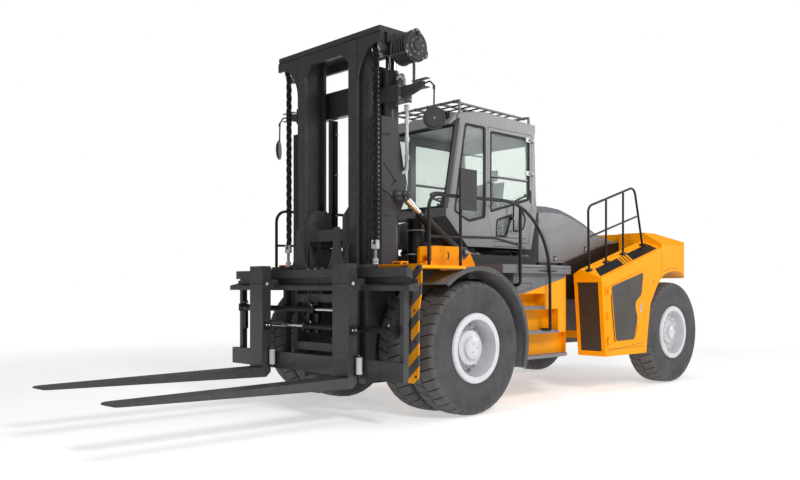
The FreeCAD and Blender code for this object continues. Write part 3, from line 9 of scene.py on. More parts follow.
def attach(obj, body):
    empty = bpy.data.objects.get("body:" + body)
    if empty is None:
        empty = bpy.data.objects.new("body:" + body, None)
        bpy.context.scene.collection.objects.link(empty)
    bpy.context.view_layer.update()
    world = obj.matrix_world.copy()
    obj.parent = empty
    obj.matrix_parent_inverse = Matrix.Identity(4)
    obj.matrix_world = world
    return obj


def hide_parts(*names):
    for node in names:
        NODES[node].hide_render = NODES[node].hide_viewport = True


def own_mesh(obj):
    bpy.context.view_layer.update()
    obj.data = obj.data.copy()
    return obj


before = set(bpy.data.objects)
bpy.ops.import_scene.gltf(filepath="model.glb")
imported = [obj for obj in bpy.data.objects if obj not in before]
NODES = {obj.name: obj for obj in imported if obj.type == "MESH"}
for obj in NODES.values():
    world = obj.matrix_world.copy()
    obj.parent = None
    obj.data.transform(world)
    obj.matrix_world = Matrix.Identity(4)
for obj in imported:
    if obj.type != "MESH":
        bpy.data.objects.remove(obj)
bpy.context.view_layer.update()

# The truck is laid out from its front axle, as in the CAD source; OY moves that to the shared frame.
OY = 0.7375
SIDES = (("left", 1), ("right", -1))
OUT, UP, AHEAD = (1, 0, 0), (0, 0, 1), (0, -1, 0)


# ---- materials ----
def srgb(r, g, b):
    """Linear colour of an 8-bit sRGB one."""
    def line(v):
        v /= 255
        return v / 12.92 if v <= 0.04045 else ((v + 0.055) / 1.055) ** 2.4
    return (line(r), line(g), line(b), 1)


def shade(colour, k):
    return (colour[0] * k, colour[1] * k, colour[2] * k, 1)


def fill(node, **values):
    """Sets a node's inputs by name; an underscore stands for a space."""
    for key, value in values.items():
        node.inputs[key.replace("_", " ")].default_value = value


class Nodes:
    """A short way to wire a material's node tree."""

    def __init__(self, name):
        self.mat = bpy.data.materials.new(name)
        self.mat.use_nodes = True
        self.tree = self.mat.node_tree
        self.shader = self.tree.nodes["Principled BSDF"]
        self.output = self.tree.nodes["Material Output"]
        self.position = self.add("ShaderNodeTexCoord").outputs["Object"]

    def add(self, kind, **values):
        node = self.tree.nodes.new(kind)
        for key, value in values.items():
            setattr(node, key, value)
        return node

    def link(self, a, b):
        self.tree.links.new(a, b)

    def noise(self, scale, detail=3, rough=0.55, stretch=None):
        node = self.add("ShaderNodeTexNoise")
        fill(node, Scale=scale, Detail=detail, Roughness=rough)
        where = self.position
        if stretch:
            mapping = self.add("ShaderNodeMapping")
            fill(mapping, Scale=stretch)
            self.link(where, mapping.inputs["Vector"])
            where = mapping.outputs["Vector"]
        self.link(where, node.inputs["Vector"])
        return node.outputs["Fac"]

    def texture(self, kind, scale, output, **values):
        node = self.add("ShaderNodeTex" + kind, **values)
        fill(node, Scale=scale)
        self.link(self.position, node.inputs["Vector"])
        return node.outputs[output]

    def ramp(self, value, low, high, a=0.0, b=1.0):
        node = self.add("ShaderNodeMapRange")
        fill(node, From_Min=low, From_Max=high, To_Min=a, To_Max=b)
        self.link(value, node.inputs["Value"])
        return node.outputs["Result"]

    def patches(self, scale, detail, low=0.3, high=0.7, a=0.0, b=1.0):
        """Noise stretched to run from a to b."""
        return self.ramp(self.noise(scale, detail), low, high, a, b)

    def math(self, operation, a, b=None):
        node = self.add("ShaderNodeMath", operation=operation)
        for index, value in enumerate((a, b)):
            if value is None:
                continue
            if isinstance(value, (int, float)):
                node.inputs[index].default_value = value
            else:
                self.link(value, node.inputs[index])
        return node.outputs[0]

    def times(self, a, b):
        return self.math("MULTIPLY", a, b)

    def mix(self, fac, a, b):
        node = self.add("ShaderNodeMix", data_type="RGBA")
        for socket, value in ((0, fac), (6, a), (7, b)):
            if isinstance(value, (int, float, tuple)):
                node.inputs[socket].default_value = value
            else:
                self.link(value, node.inputs[socket])
        return node.outputs[2]

    def axis(self, index):
        node = self.add("ShaderNodeSeparateXYZ")
        self.link(self.position, node.inputs[0])
        return node.outputs[index]

    def bump(self, height, strength, distance):
        node = self.add("ShaderNodeBump")
        fill(node, Strength=strength, Distance=distance)
        self.link(height, node.inputs["Height"])
        self.link(node.outputs["Normal"], self.shader.inputs["Normal"])

    def edges(self, low=0.53, high=0.62):
        """Nearly 1 along sharp outer edges."""
        return self.ramp(self.add("ShaderNodeNewGeometry").outputs["Pointiness"], low, high)

    def set(self, **values):
        fill(self.shader, **values)

    def colour(self, value):
        self.link(value, self.shader.inputs["Base Color"])

    def rough(self, value):
        self.link(value, self.shader.inputs["Roughness"])

    def repaint(self, where, colour):
        """Puts another colour on top, where the mask is 1."""
        under = self.shader.inputs["Base Color"].links[0].from_socket
        self.colour(self.mix(where, under, colour))


def paint(name, colour, rough=0.4, dust=0.25, wear=0.35, coat=0.0, shine=0.5):
    """Sprayed enamel: slight unevenness, dust low down, paler worn edges."""
    n = Nodes(name)
    cloud = n.noise(1.3, 4)
    fine = n.noise(38, 3)
    body = n.mix(n.ramp(cloud, 0.3, 0.7), shade(colour, 0.96), shade(colour, 1.03))
    body = n.mix(n.times(n.ramp(fine, 0.45, 0.75), 0.05), body, shade(colour, 0.8))
    grime = n.times(n.ramp(n.axis(2), 1.1, 0.2), n.patches(6, 5, 0.35, 0.75))
    body = n.mix(n.times(grime, dust), body, srgb(120, 112, 100))
    chips = n.times(n.edges(), n.patches(22, 4, 0.42, 0.62))
    pale = tuple(min(1.0, c * 1.25 + 0.02) for c in colour[:3]) + (1,)
    n.colour(n.mix(n.times(chips, wear), body, pale))
    n.rough(n.patches(9, 4, 0.25, 0.8, rough - 0.03, rough + 0.05))
    n.bump(n.noise(420, 2), 0.05, 0.0005)
    n.set(Coat_Weight=coat, Coat_Roughness=0.12, Specular_IOR_Level=shine)
    return n


def tread_rubber():
    n = Nodes("tyre_rubber")
    base = n.mix(n.patches(3, 4), srgb(52, 51, 53), srgb(78, 77, 79))
    scuffs = n.times(n.ramp(n.noise(28, 6, 0.7), 0.5, 0.8), 0.35)
    base = n.mix(scuffs, base, srgb(104, 101, 97))
    n.colour(n.mix(n.times(n.edges(0.5, 0.6), 0.3), base, srgb(112, 110, 107)))
    n.rough(n.patches(14, 4, 0.3, 0.8, 0.6, 0.85))
    n.bump(n.noise(260, 3), 0.25, 0.002)
    n.set(Specular_IOR_Level=0.35)
    return n.mat


def moulded(name, colour, rough):
    """Grained plastic or rubber trim."""
    n = Nodes(name)
    n.colour(n.mix(n.patches(5, 4), shade(colour, 0.85), shade(colour, 1.12)))
    n.rough(n.patches(20, 3, 0.3, 0.8, rough - 0.08, rough + 0.1))
    n.bump(n.texture("Voronoi", 900, "Distance"), 0.15, 0.0006)
    return n.mat


def metal(name, colour, rough, stretch, scale=60):
    n = Nodes(name)
    n.set(Metallic=1.0)
    n.colour(n.mix(n.patches(4, 3), shade(colour, 0.9), colour))
    streak = n.noise(scale, 4, 0.6, stretch)
    n.rough(n.ramp(streak, 0.3, 0.75, rough * 0.7, rough * 1.5))
    n.bump(streak, 0.06, 0.0006)
    return n.mat


def tinted_glass():
    """Greenish safety glass: mostly clear, with a glossy face."""
    n = Nodes("green_glass")
    smear = n.noise(2.5, 4)
    clear = n.add("ShaderNodeBsdfTransparent")
    fill(clear, Color=(0.955, 0.982, 0.964, 1))
    n.colour(n.mix(n.ramp(smear, 0.35, 0.7), srgb(222, 232, 227), srgb(232, 240, 236)))
    n.rough(n.patches(11, 4, 0.3, 0.8, 0.02, 0.09))
    weight = n.ramp(smear, 0.3, 0.8, 0.09, 0.14)
    blend = n.add("ShaderNodeMixShader")
    n.link(weight, blend.inputs[0])
    n.link(clear.outputs[0], blend.inputs[1])
    n.link(n.shader.outputs[0], blend.inputs[2])
    n.link(blend.outputs[0], n.output.inputs["Surface"])
    return n.mat


def fabric(name, colour):
    n = Nodes(name)
    weave = n.texture("Wave", 260, "Fac", wave_type="BANDS", bands_direction="DIAGONAL")
    cloth = n.times(weave, n.texture("Wave", 300, "Fac", wave_type="BANDS", bands_direction="Z"))
    n.colour(n.mix(n.ramp(cloth, 0.0, 0.8), shade(colour, 0.7), shade(colour, 1.25)))
    n.set(Roughness=0.9, Sheen_Weight=0.3)
    n.bump(cloth, 0.35, 0.001)
    return n.mat


def mesh_sheet(name, colour, hole, pitch, u, v):
    """Sheet metal with staggered holes, see-through where the holes are. u and v pick the axes."""
    n = Nodes(name)

    def grid(shift):
        cells = []
        for index, step in ((u, pitch), (v, pitch * 1.7)):
            moved = n.math("ADD", n.math("DIVIDE", n.axis(index), step), shift)
            cell = n.math("SUBTRACT", n.math("FRACT", moved), 0.5)
            cells.append(n.math("POWER", n.times(cell, step), 2))
        return n.math("SQRT", n.math("ADD", *cells))
    nearest = n.math("MINIMUM", grid(0.0), grid(0.5))
    solid = n.math("GREATER_THAN", nearest, hole)
    n.colour(n.mix(n.patches(3, 4), shade(colour, 0.85), shade(colour, 1.1)))
    n.set(Roughness=0.5)
    n.link(solid, n.shader.inputs["Alpha"])
    return n.mat


def hazard(name):
    """Diagonal stripes that rise to the truck's right as seen from the front."""
    n = paint(name, YELLOW, 0.42, 0.08, 0.25, shine=0.25)
    across = n.math("ABSOLUTE", n.axis(0))
    ramp = n.math("SUBTRACT", n.axis(2), n.times(across, 0.95))
    phase = n.math("FRACT", n.math("DIVIDE", ramp, 0.235))
    n.repaint(n.math("GREATER_THAN", phase, 0.5), srgb(88, 87, 90))
    return n.mat


def split_side(name):
    """The tank side: grey above a rising diagonal, yellow below it."""
    n = paint(name, YELLOW, 0.42, 0.06, 0.2, shine=0.15)
    line = n.math("ADD", n.times(n.math("ADD", n.axis(1), OY - 0.918), 0.2295), 1.307)
    above = n.math("GREATER_THAN", n.axis(2), line)
    n.repaint(above, n.mix(n.patches(4, 4), shade(GREY, 0.9), shade(GREY, 1.05)))
    return n.mat


YELLOW = srgb(250, 158, 0)
GREY = srgb(112, 111, 114)

yellow = paint("yellow_enamel", YELLOW, 0.45, 0.04, 0.2, shine=0.12).mat
grey = paint("grey_enamel", GREY, 0.36, 0.2, 0.25, coat=0.15).mat
mast = paint("mast_enamel", srgb(52, 51, 54), 0.36, 0.15, 0.5, coat=0.15, shine=0.45).mat
black = paint("black_enamel", srgb(20, 20, 21), 0.42, 0.12, 0.25, shine=0.35).mat
rim = paint("rim_silver", srgb(205, 206, 209), 0.3, 0.3, 0.2, coat=0.3).mat
silver = paint("zinc_silver", srgb(196, 197, 198), 0.3, 0.2, 0.2).mat
rubber = tread_rubber()
trim = moulded("black_trim", srgb(38, 37, 39), 0.55)
seal = moulded("door_seal", srgb(26, 26, 27), 0.7)
chrome = metal("rod_chrome", (0.78, 0.79, 0.81, 1), 0.1, (1, 1, 30))
steel = metal("machined_steel", (0.56, 0.56, 0.58, 1), 0.28, (8, 8, 1))
chain_steel = metal("oiled_chain", (0.045, 0.045, 0.05, 1), 0.45, (3, 3, 3), 30)
glass = tinted_glass()
lamp_red = moulded("lamp_red", srgb(150, 18, 16), 0.25)
lamp_amber = moulded("lamp_amber", srgb(206, 100, 14), 0.25)
seat_cloth = fabric("seat_cloth", srgb(60, 60, 64))
side_mesh = mesh_sheet("side_mesh", srgb(92, 88, 84), 0.0085, 0.024, 1, 2)
front_mesh = mesh_sheet("front_mesh", srgb(70, 60, 50), 0.01, 0.03, 0, 2)
hazard_paint = hazard("hazard_enamel")
side_paint = split_side("tank_enamel")


# ---- camera, light and floor ----
FOCAL_SHARE = 817.56 / 800      # focal length over the picture's width
CAMERA_SHIFT = 0.0583
FLOOR_HALF = 60


def stage_object(name, data):
    obj = bpy.data.objects.new(name, data)
    bpy.context.collection.objects.link(obj)
    return obj


def set_camera():
    camera = stage_object("photo_camera", bpy.data.cameras.new("photo_camera"))
    camera.location = (7.417, -6.827 - OY, 1.427)
    camera.rotation_euler = (radians(90), 0, radians(46.348))
    camera.data.sensor_width = 36
    camera.data.lens = FOCAL_SHARE * 36
    camera.data.shift_y = CAMERA_SHIFT
    camera.data.clip_end = 200
    bpy.context.scene.camera = camera


def set_world():
    """A dim pale blue on the truck, and plain white where it is seen."""
    world = bpy.data.worlds.new("studio")
    bpy.context.scene.world = world
    world.use_nodes = True
    nodes, links = world.node_tree.nodes, world.node_tree.links
    paths = nodes.new("ShaderNodeLightPath")
    seen = nodes.new("ShaderNodeMath")
    seen.operation = "MAXIMUM"
    links.new(paths.outputs["Is Camera Ray"], seen.inputs[0])
    links.new(paths.outputs["Is Transmission Ray"], seen.inputs[1])
    mix = nodes.new("ShaderNodeMixShader")
    white = nodes.new("ShaderNodeBackground")
    fill(white, Color=(1, 1, 1, 1), Strength=1.0)
    background = nodes["Background"]
    fill(background, Color=(0.9, 0.95, 1.0, 1), Strength=0.19)
    for index, node in enumerate((seen, background, white)):
        links.new(node.outputs[0], mix.inputs[index])
    links.new(mix.outputs[0], nodes["World Output"].inputs["Surface"])


def set_lights():
    for name, place, size, power, aim in (
            ("key", (10.5, -3.5, 8.5), 2.5, 960, (0, 0, 1.4)),
            ("front", (-3.0, -13.0, 6.0), 6.0, 70, (0, -1.5, 1.6)),
            ("top", (0.5, 1.0, 12.0), 7.0, 640, (0, 0, 0)),
            ("rear", (7.0, 10.5, 5.0), 5.0, 380, (0.5, 2.5, 1.5))):
        light = stage_object(name, bpy.data.lights.new(name, "AREA"))
        light.data.size = size
        light.data.energy = power
        light.location = place
        light.rotation_euler = (Vector(aim) - Vector(place)).to_track_quat("-Z", "Y").to_euler()


def set_floor():
    """A pale floor near the truck, plain white from a few metres away, so that it has no horizon."""
    plane = bpy.data.meshes.new("floor")
    corners = [(a * FLOOR_HALF, b * FLOOR_HALF, 0) for a, b in ((-1, -1), (1, -1), (1, 1), (-1, 1))]
    plane.from_pydata(corners, [], [(0, 1, 2, 3)])
    floor = stage_object("floor", plane)
    n = Nodes("studio_floor")
    n.colour(n.mix(n.patches(0.8, 3), (0.78, 0.78, 0.78, 1), (0.8, 0.8, 0.8, 1)))
    n.set(Roughness=0.35)
    glow = n.add("ShaderNodeEmission")
    fill(glow, Strength=0.5)
    lit = n.add("ShaderNodeAddShader")
    n.link(n.shader.outputs[0], lit.inputs[0])
    n.link(glow.outputs[0], lit.inputs[1])
    away = n.add("ShaderNodeVectorMath", operation="LENGTH")
    n.link(n.position, away.inputs[0])
    white = n.add("ShaderNodeEmission")
    fade = n.add("ShaderNodeMixShader")
    n.link(n.ramp(away.outputs["Value"], 6.0, 12.0), fade.inputs[0])
    n.link(lit.outputs[0], fade.inputs[1])
    n.link(white.outputs[0], fade.inputs[2])
    n.link(fade.outputs[0], n.output.inputs["Surface"])
    plane.materials.append(n.mat)


set_camera()
set_world()
set_lights()
set_floor()
bpy.context.scene.view_settings.view_transform = "Standard"


# ---- mesh helpers ----
def turns(count, start=0.0):
    """Angles spaced evenly round a circle."""
    return [2 * pi * k / count + start for k in range(count)]


def polar(a, b, radius, turn):
    return a + radius * cos(turn), b + radius * sin(turn)


def rectangle(a0, a1, b0, b1):
    return [(a0, b0), (a1, b0), (a1, b1), (a0, b1)]


def soft_corner(before, here, after, radius, steps):
    """Points that cut a corner with a smooth curve."""
    back = min(radius, (before - here).length * 0.45, (after - here).length * 0.45)
    a, b = (here + (end - here).normalized() * back for end in (before, after))
    return [a.lerp(here, k / steps).lerp(here.lerp(b, k / steps), k / steps) for k in range(steps + 1)]


def ring_round(centre, u, w, radius, sides):
    return [centre + (u * cos(t) + w * sin(t)) * radius for t in turns(sides)]


class Piece:
    """Gathers shapes into one mesh. Each shape takes a material.

    Points are given in metres from the front axle, on the truck's left; sign = -1 puts them on its right.
    """

    def __init__(self, name, sign=1):
        self.name = name
        self.sign = sign
        self.bm = bmesh.new()
        self.mats = []

    def at(self, x, y, z):
        return Vector((self.sign * x, y - OY, z))

    def faces(self, verts, faces, mat):
        if mat not in self.mats:
            self.mats.append(mat)
        made = [self.bm.verts.new(v) for v in verts]
        for face in faces:
            try:
                self.bm.faces.new([made[i] for i in face]).material_index = self.mats.index(mat)
            except ValueError:
                continue

    def box(self, x0, x1, y0, y1, z0, z1, mat):
        ends = sorted((x0, x1), key=lambda x: self.sign * x)
        corners = [self.at(x, y, z) for x in ends for y in (y0, y1) for z in (z0, z1)]
        self.faces(corners, ((0, 1, 3, 2), (4, 6, 7, 5), (0, 4, 5, 1), (2, 3, 7, 6), (0, 2, 6, 4),
                             (1, 5, 7, 3)), mat)

    def prism(self, points, direction, low, high, mat):
        """A flat plate; its outline is given across the direction that it is thick in."""
        slot = "xyz".index(direction)
        self.loft([[self.at(*p[:slot], depth, *p[slot:]) for p in map(tuple, points)]
                   for depth in (low, high)], mat)

    def loft(self, rings, mat, caps=True):
        """Skins closed rings of as many points each."""
        count = len(rings[0])
        faces = []
        for r in range(len(rings) - 1):
            for i in range(count):
                j = (i + 1) % count
                faces.append((r * count + i, r * count + j, (r + 1) * count + j, (r + 1) * count + i))
        if caps:
            faces.append(tuple(reversed(range(count))))
            faces.append(tuple(range((len(rings) - 1) * count, len(rings) * count)))
        self.faces([v for ring in rings for v in ring], faces, mat)

    def rod(self, a, b, radius, mat, sides=16, end_radius=None):
        a, b = self.at(*a), self.at(*b)
        along = (b - a).normalized()
        u = along.orthogonal().normalized()
        w = along.cross(u)
        self.loft([ring_round(a, u, w, radius, sides),
                   ring_round(b, u, w, radius if end_radius is None else end_radius, sides)], mat)

    def pin(self, x, length, y, z, radius, mat, sides=16):
        """A rod across the truck, from x on."""
        self.rod((x, y, z), (x + length, y, z), radius, mat, sides)

    def post(self, x, y, z0, z1, radius, mat, sides=16):
        self.rod((x, y, z0), (x, y, z1), radius, mat, sides)

    def tube(self, points, radius, mat, sides=12, bend=0.06):
        """A round tube through the points, its corners rounded."""
        pts = [self.at(*p) for p in points]
        path = [pts[0]]
        for three in zip(pts, pts[1:], pts[2:]):
            path += soft_corner(*three, bend, 5)
        path.append(pts[-1])
        rings = []
        side = None
        for i, here in enumerate(path):
            ahead = (path[min(i + 1, len(path) - 1)] - path[max(i - 1, 0)]).normalized()
            side = (ahead.orthogonal() if side is None else side - ahead * side.dot(ahead)).normalized()
            rings.append(ring_round(here, side, ahead.cross(side), radius, sides))
        self.loft(rings, mat)

    def lathe(self, profile, y, z, mat, sides):
        """Turns an outline of (x, radius) points about the axis along X at (y, z)."""
        count = len(profile)
        faces = []
        for k in range(sides):
            m = (k + 1) % sides
            for i in range(count):
                j = (i + 1) % count
                faces.append((k * count + i, k * count + j, m * count + j, m * count + i))
        self.faces([self.at(x, *polar(y, z, r, t)) for t in turns(sides) for x, r in profile], faces, mat)

    def bolt(self, at, direction, radius, mat, height=None):
        """A hexagon head on a washer; direction is the outward normal."""
        out = Vector(direction).normalized() * (radius * 0.7 if height is None else height)
        base = Vector(at)
        self.rod(base, base + out * 0.25, radius * 1.25, mat, 14)
        self.rod(base + out * 0.2, base + out, radius, mat, 6)

    def bolts(self, xs, ys, zs, direction, radius, mat, height=None):
        """A bolt at every crossing of the three lists."""
        for at in product(xs, ys, zs):
            self.bolt(at, direction, radius, mat, height)

    def done(self, body, bevel=0.0, smooth=35, stands_for=()):
        bmesh.ops.recalc_face_normals(self.bm, faces=self.bm.faces)
        mesh = bpy.data.meshes.new(self.name)
        self.bm.to_mesh(mesh)
        self.bm.free()
        for mat in self.mats:
            mesh.materials.append(mat)
        obj = stage_object(self.name, mesh)
        finish_edges(obj, bevel, smooth)
        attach(obj, body)
        if stands_for:
            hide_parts(*stands_for)
        return obj


def finish_edges(obj, bevel, smooth=35):
    for polygon in obj.data.polygons:
        polygon.use_smooth = True
    if bevel:
        mod = obj.modifiers.new("edge", "BEVEL")
        mod.width = bevel
        mod.segments = 2
        mod.limit_method = "ANGLE"
        mod.angle_limit = radians(smooth)
        mod.harden_normals = True
    obj.data.set_sharp_from_angle(angle=radians(smooth))


# ---- materials and soft edges of the CAD parts; a name that has two sides is given once ----
for mat, bevel, names in (
        (yellow, 0.004, "cabinet_door"), (yellow, 0.005, "front_decks"),
        (yellow, 0.006, "cabinets"), (yellow, 0.012, "counterweight"),
        (grey, 0.003, "hose_reel"), (grey, 0.004, "cab_door fenders steps"),
        (grey, 0.005, "cab_frame chassis_frame"), (grey, 0.006, "cab_roof front_axle"),
        (grey, 0.008, "hood"), (side_paint, 0.006, "body_sides"), (hazard_paint, 0.003, "guard_plates"),
        (mast, 0.004, "carriage inner_rails lift_barrels outer_rails"), (mast, 0.005, "mast_ties"),
        (mast, 0.006, "fork top_beam"), (black, 0, "front_handrails rear_handrails"),
        (black, 0.004, "fork_positioner tilt_barrel"), (black, 0.005, "cab_base hood_base knuckle"),
        (black, 0.006, "air_cleaner steer_axle"), (black, 0.01, "engine"),
        (trim, 0.003, "mast_mirrors"), (trim, 0.005, "controls"), (trim, 0.01, "cab_mirrors seat"),
        (rim, 0.004, "front_rims rear_rim"), (chrome, 0.003, "lift_rods positioner_rod"),
        (chrome, 0.004, "tilt_rod"), (steel, 0.003, "sheaves"), (chain_steel, 0, "lift_chains"),
        (rubber, 0, "front_tyres rear_tyre"), (glass, 0, "cab_glass cab_door_glass")):
    for name in names.split():
        for node in [name] if name in NODES else [name + "_left", name + "_right"]:
            NODES[node].data.materials.clear()
            NODES[node].data.materials.append(mat)
            finish_edges(NODES[node], bevel)


# ---- wheels ----
TYRE_R = 0.7475
TYRE_W = 0.405
LUGS = 38
# outlines of the side wall and of a tread block: share of the width from the middle, and radius
WALL = ((0.42, 0.34), (0.42, 0.388), (0.445, 0.412), (0.455, 0.43), (0.475, 0.445), (0.478, 0.47),
        (0.497, 0.5), (0.5, 0.56), (0.497, 0.6), (0.5, 0.606), (0.497, 0.612), (0.488, 0.652),
        (0.47, 0.684), (0.44, 0.706), (0.34, 0.718), (0.15, 0.722))
CROWN = ((0.469, 0.69), (0.456, 0.709), (0.43, 0.724), (0.39, 0.733), (0.33, 0.74), (0.18, 0.7465),
         (0.012, 0.7465))
SHOULDER = 0.4     # share of the width where the slant of the tread starts


def add_tyre(piece, x_out, y):
    """A carcass with a smooth wall, and two rows of slanted tread blocks parted by narrow grooves."""
    mid = x_out - TYRE_W / 2
    both = [(mid + s * TYRE_W, r) for s, r in WALL] + [(mid - s * TYRE_W, r) for s, r in reversed(WALL)]
    piece.lathe(both, y, TYRE_R, rubber, 112)
    pitch = 2 * pi / LUGS
    for row in (0, 1):
        way = piece.sign * (1 - 2 * row)
        for k in range(LUGS):
            rings = []
            for share, radius in CROWN:
                middle = (k + 0.5 * row) * pitch + pitch * max(0.0, SHOULDER - share)
                half = pitch * (0.455 if share > 0.2 else 0.47)
                low = min(radius - 0.008, 0.704 if share > SHOULDER else 0.712)
                rings.append([piece.at(mid + way * share * TYRE_W, *polar(y, TYRE_R, r, middle + turn))
                              for turn, r in ((-half, low), (-half * 0.96, radius), (half * 0.96, radius),
                                              (half, low))])
            piece.loft(rings, rubber)


# per axle: names, place, outer faces of the tyres, face of the lock ring, rings of bolts and the valve
WHEELS = (
    ("front_wheel_", "tread_front_", "front_tyres_", "hub_bolts_", 0, (1.5, 1.05), 1.487,
     ((1.305, 0.224, 26, 0.0165, rim, 0.0, 0.02), (1.265, 0.288, 20, 0.015, steel, 0.1, 0.02),
      (1.395, 0.16, 12, 0.0085, rim, 0.0, 0.008), (1.455, 0.05, 3, 0.009, steel, 0.0, 0.006)),
     ((1.255, 0.12, 0.3), (1.36, 0.13, 0.325), (1.42, 0.13, 0.318)), 0.007, 0.03),
    ("rear_wheel_", "tread_rear_", "rear_tyre_", "steer_hub_bolts_", 4.58, (1.4,), 1.387,
     ((1.28, 0.202, 16, 0.0085, steel, 0.0, 0.01), (1.28, 0.262, 16, 0.0085, steel, 0.2, 0.01),
      (1.315, 0.128, 10, 0.012, rim, 0.0, 0.014)),
     ((1.27, 0, 0.295), (1.33, 0, 0.318), (1.36, 0, 0.31)), 0.008, 0.02))
RIM_LIP = ((0.0, 0.386), (0.01, 0.392), (0.02, 0.388), (0.02, 0.372), (0.004, 0.366))
SPLIT_RING = ((0.0, 0.352), (0.008, 0.358), (0.014, 0.352), (0.012, 0.338), (0.002, 0.334))
for side, sign in SIDES:
    for body, tread_name, tyre, hub_name, y, outer_faces, lip, bolts, valve, valve_r, valve_bend in WHEELS:
        tread = Piece(tread_name + side, sign)
        for x in outer_faces:
            add_tyre(tread, x, y)
        tread.done(body + side, smooth=40, stands_for=(tyre + side,))
        hub = Piece(hub_name + side, sign)
        for x, radius, count, size, mat, turn, height in bolts:
            for t in turns(count, turn):
                hub.bolt((x, *polar(y, TYRE_R, radius, t)), OUT, size, mat, height)
        if y == 0:
            hub.pin(1.44, 0.01, 0, TYRE_R - 0.098, 0.012, steel, 10)
        hub.tube([(x, y + dy, TYRE_R + dz) for x, dy, dz in valve], valve_r, black, bend=valve_bend)
        for outline in (RIM_LIP, SPLIT_RING):
            hub.lathe([(lip - a, r) for a, r in outline], y, TYRE_R, rim, 72)
        hub.done(body + side, 0.0015)


# ---- mast ----
def ribbon(piece, points, width, x_low, x_high, mat):
    """A flat strip along a path of (y, z) points, standing between two x planes."""
    for a, b in zip(points, points[1:]):
        a, b = Vector(a), Vector(b)
        along = (b - a).normalized() * width
        side = Vector((-along.y, along.x)) / 2
        start, end, nose = a - along * 0.35, b + along * 0.35, along * 0.18
        piece.prism([start - side * 0.5 - nose, start - side, end - side, end - side * 0.5 + nose,
                     end + side * 0.5 + nose, end + side, start + side, start + side * 0.5 - nose],
                    "x", x_low, x_high, mat)


CHAIN_X = 0.8
CHAIN_Y = -0.8742
CHAIN_FOOT = 1.92
CHAIN_HEAD = 4.06
CHAIN_PITCH = 0.0508


def link_plates(piece, x, outline, shift):
    """Four link plates side by side; every other row stands a little further along the pins."""
    for i in range(4):
        left = x - 0.04 + i * 0.0205 + shift
        piece.prism(outline, "x", left, left + 0.0085, chain_steel)


def leaf_chain(name, x):
    """A leaf chain: rows of link plates on pins."""
    piece = Piece(name)
    count = int((CHAIN_HEAD - CHAIN_FOOT) / CHAIN_PITCH)
    pitch = (CHAIN_HEAD - CHAIN_FOOT) / count
    for k in range(count):
        low = CHAIN_FOOT + k * pitch
        outline = [(CHAIN_Y + 0.0125 * cos(start + pi * s / 3), centre + 0.0105 * sin(start + pi * s / 3))
                   for centre, start in ((low + 0.004, pi), (low + pitch + 0.006, 0.0)) for s in range(4)]
        link_plates(piece, x, outline, 0.0099 * (k % 2))
        piece.pin(x - 0.0425, 0.085, CHAIN_Y, low + pitch / 2 + 0.0254, 0.0085, steel, 8)
    return piece.done("carriage", smooth=50)


for side, sign in SIDES:
    x = sign * CHAIN_X
    run = leaf_chain("chain_run_" + side, x)
    if side == "left":
        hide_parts("lift_chains")
    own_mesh(run)

    wrap = Piece("chain_wrap_" + side)
    for k in range(11):
        t = pi * (k + 0.5) / 11
        link_plates(wrap, x, [polar(-0.783, CHAIN_HEAD, r, pi - t - turn)
                              for r, turn in ((0.08, -0.19), (0.08, 0.19), (0.103, 0.19), (0.103, -0.19))],
                    0.009 * (k % 2))
        wrap.pin(x - 0.043, 0.086, *polar(-0.783, CHAIN_HEAD, 0.0915, pi - t), 0.008, black, 8)
    wrap.done("inner_mast")

    anchor = Piece("chain_anchor_" + side, sign)
    x0, x1 = CHAIN_X - 0.0445, CHAIN_X + 0.0445
    anchor.box(x0, x1, -0.904, -0.864, 1.838, 1.885, silver)
    for a, b in ((x0, x0 + 0.02), (x1 - 0.02, x1)):
        anchor.box(a, b, -0.904, -0.864, 1.883, 1.935, silver)
    anchor.pin(x0 - 0.004, 0.097, -0.884, 1.914, 0.0095, steel, 12)
    for k in range(16):
        z = 1.664 + k * 0.0112
        anchor.rod((CHAIN_X, -0.883, z), (CHAIN_X, -0.883, z + 0.0075), 0.0185, silver, 14, 0.0175)
    for z in (1.668, 1.702):
        anchor.post(CHAIN_X, -0.883, z, z + 0.028, 0.034, silver, 6)
    anchor.done("carriage", 0.0025)


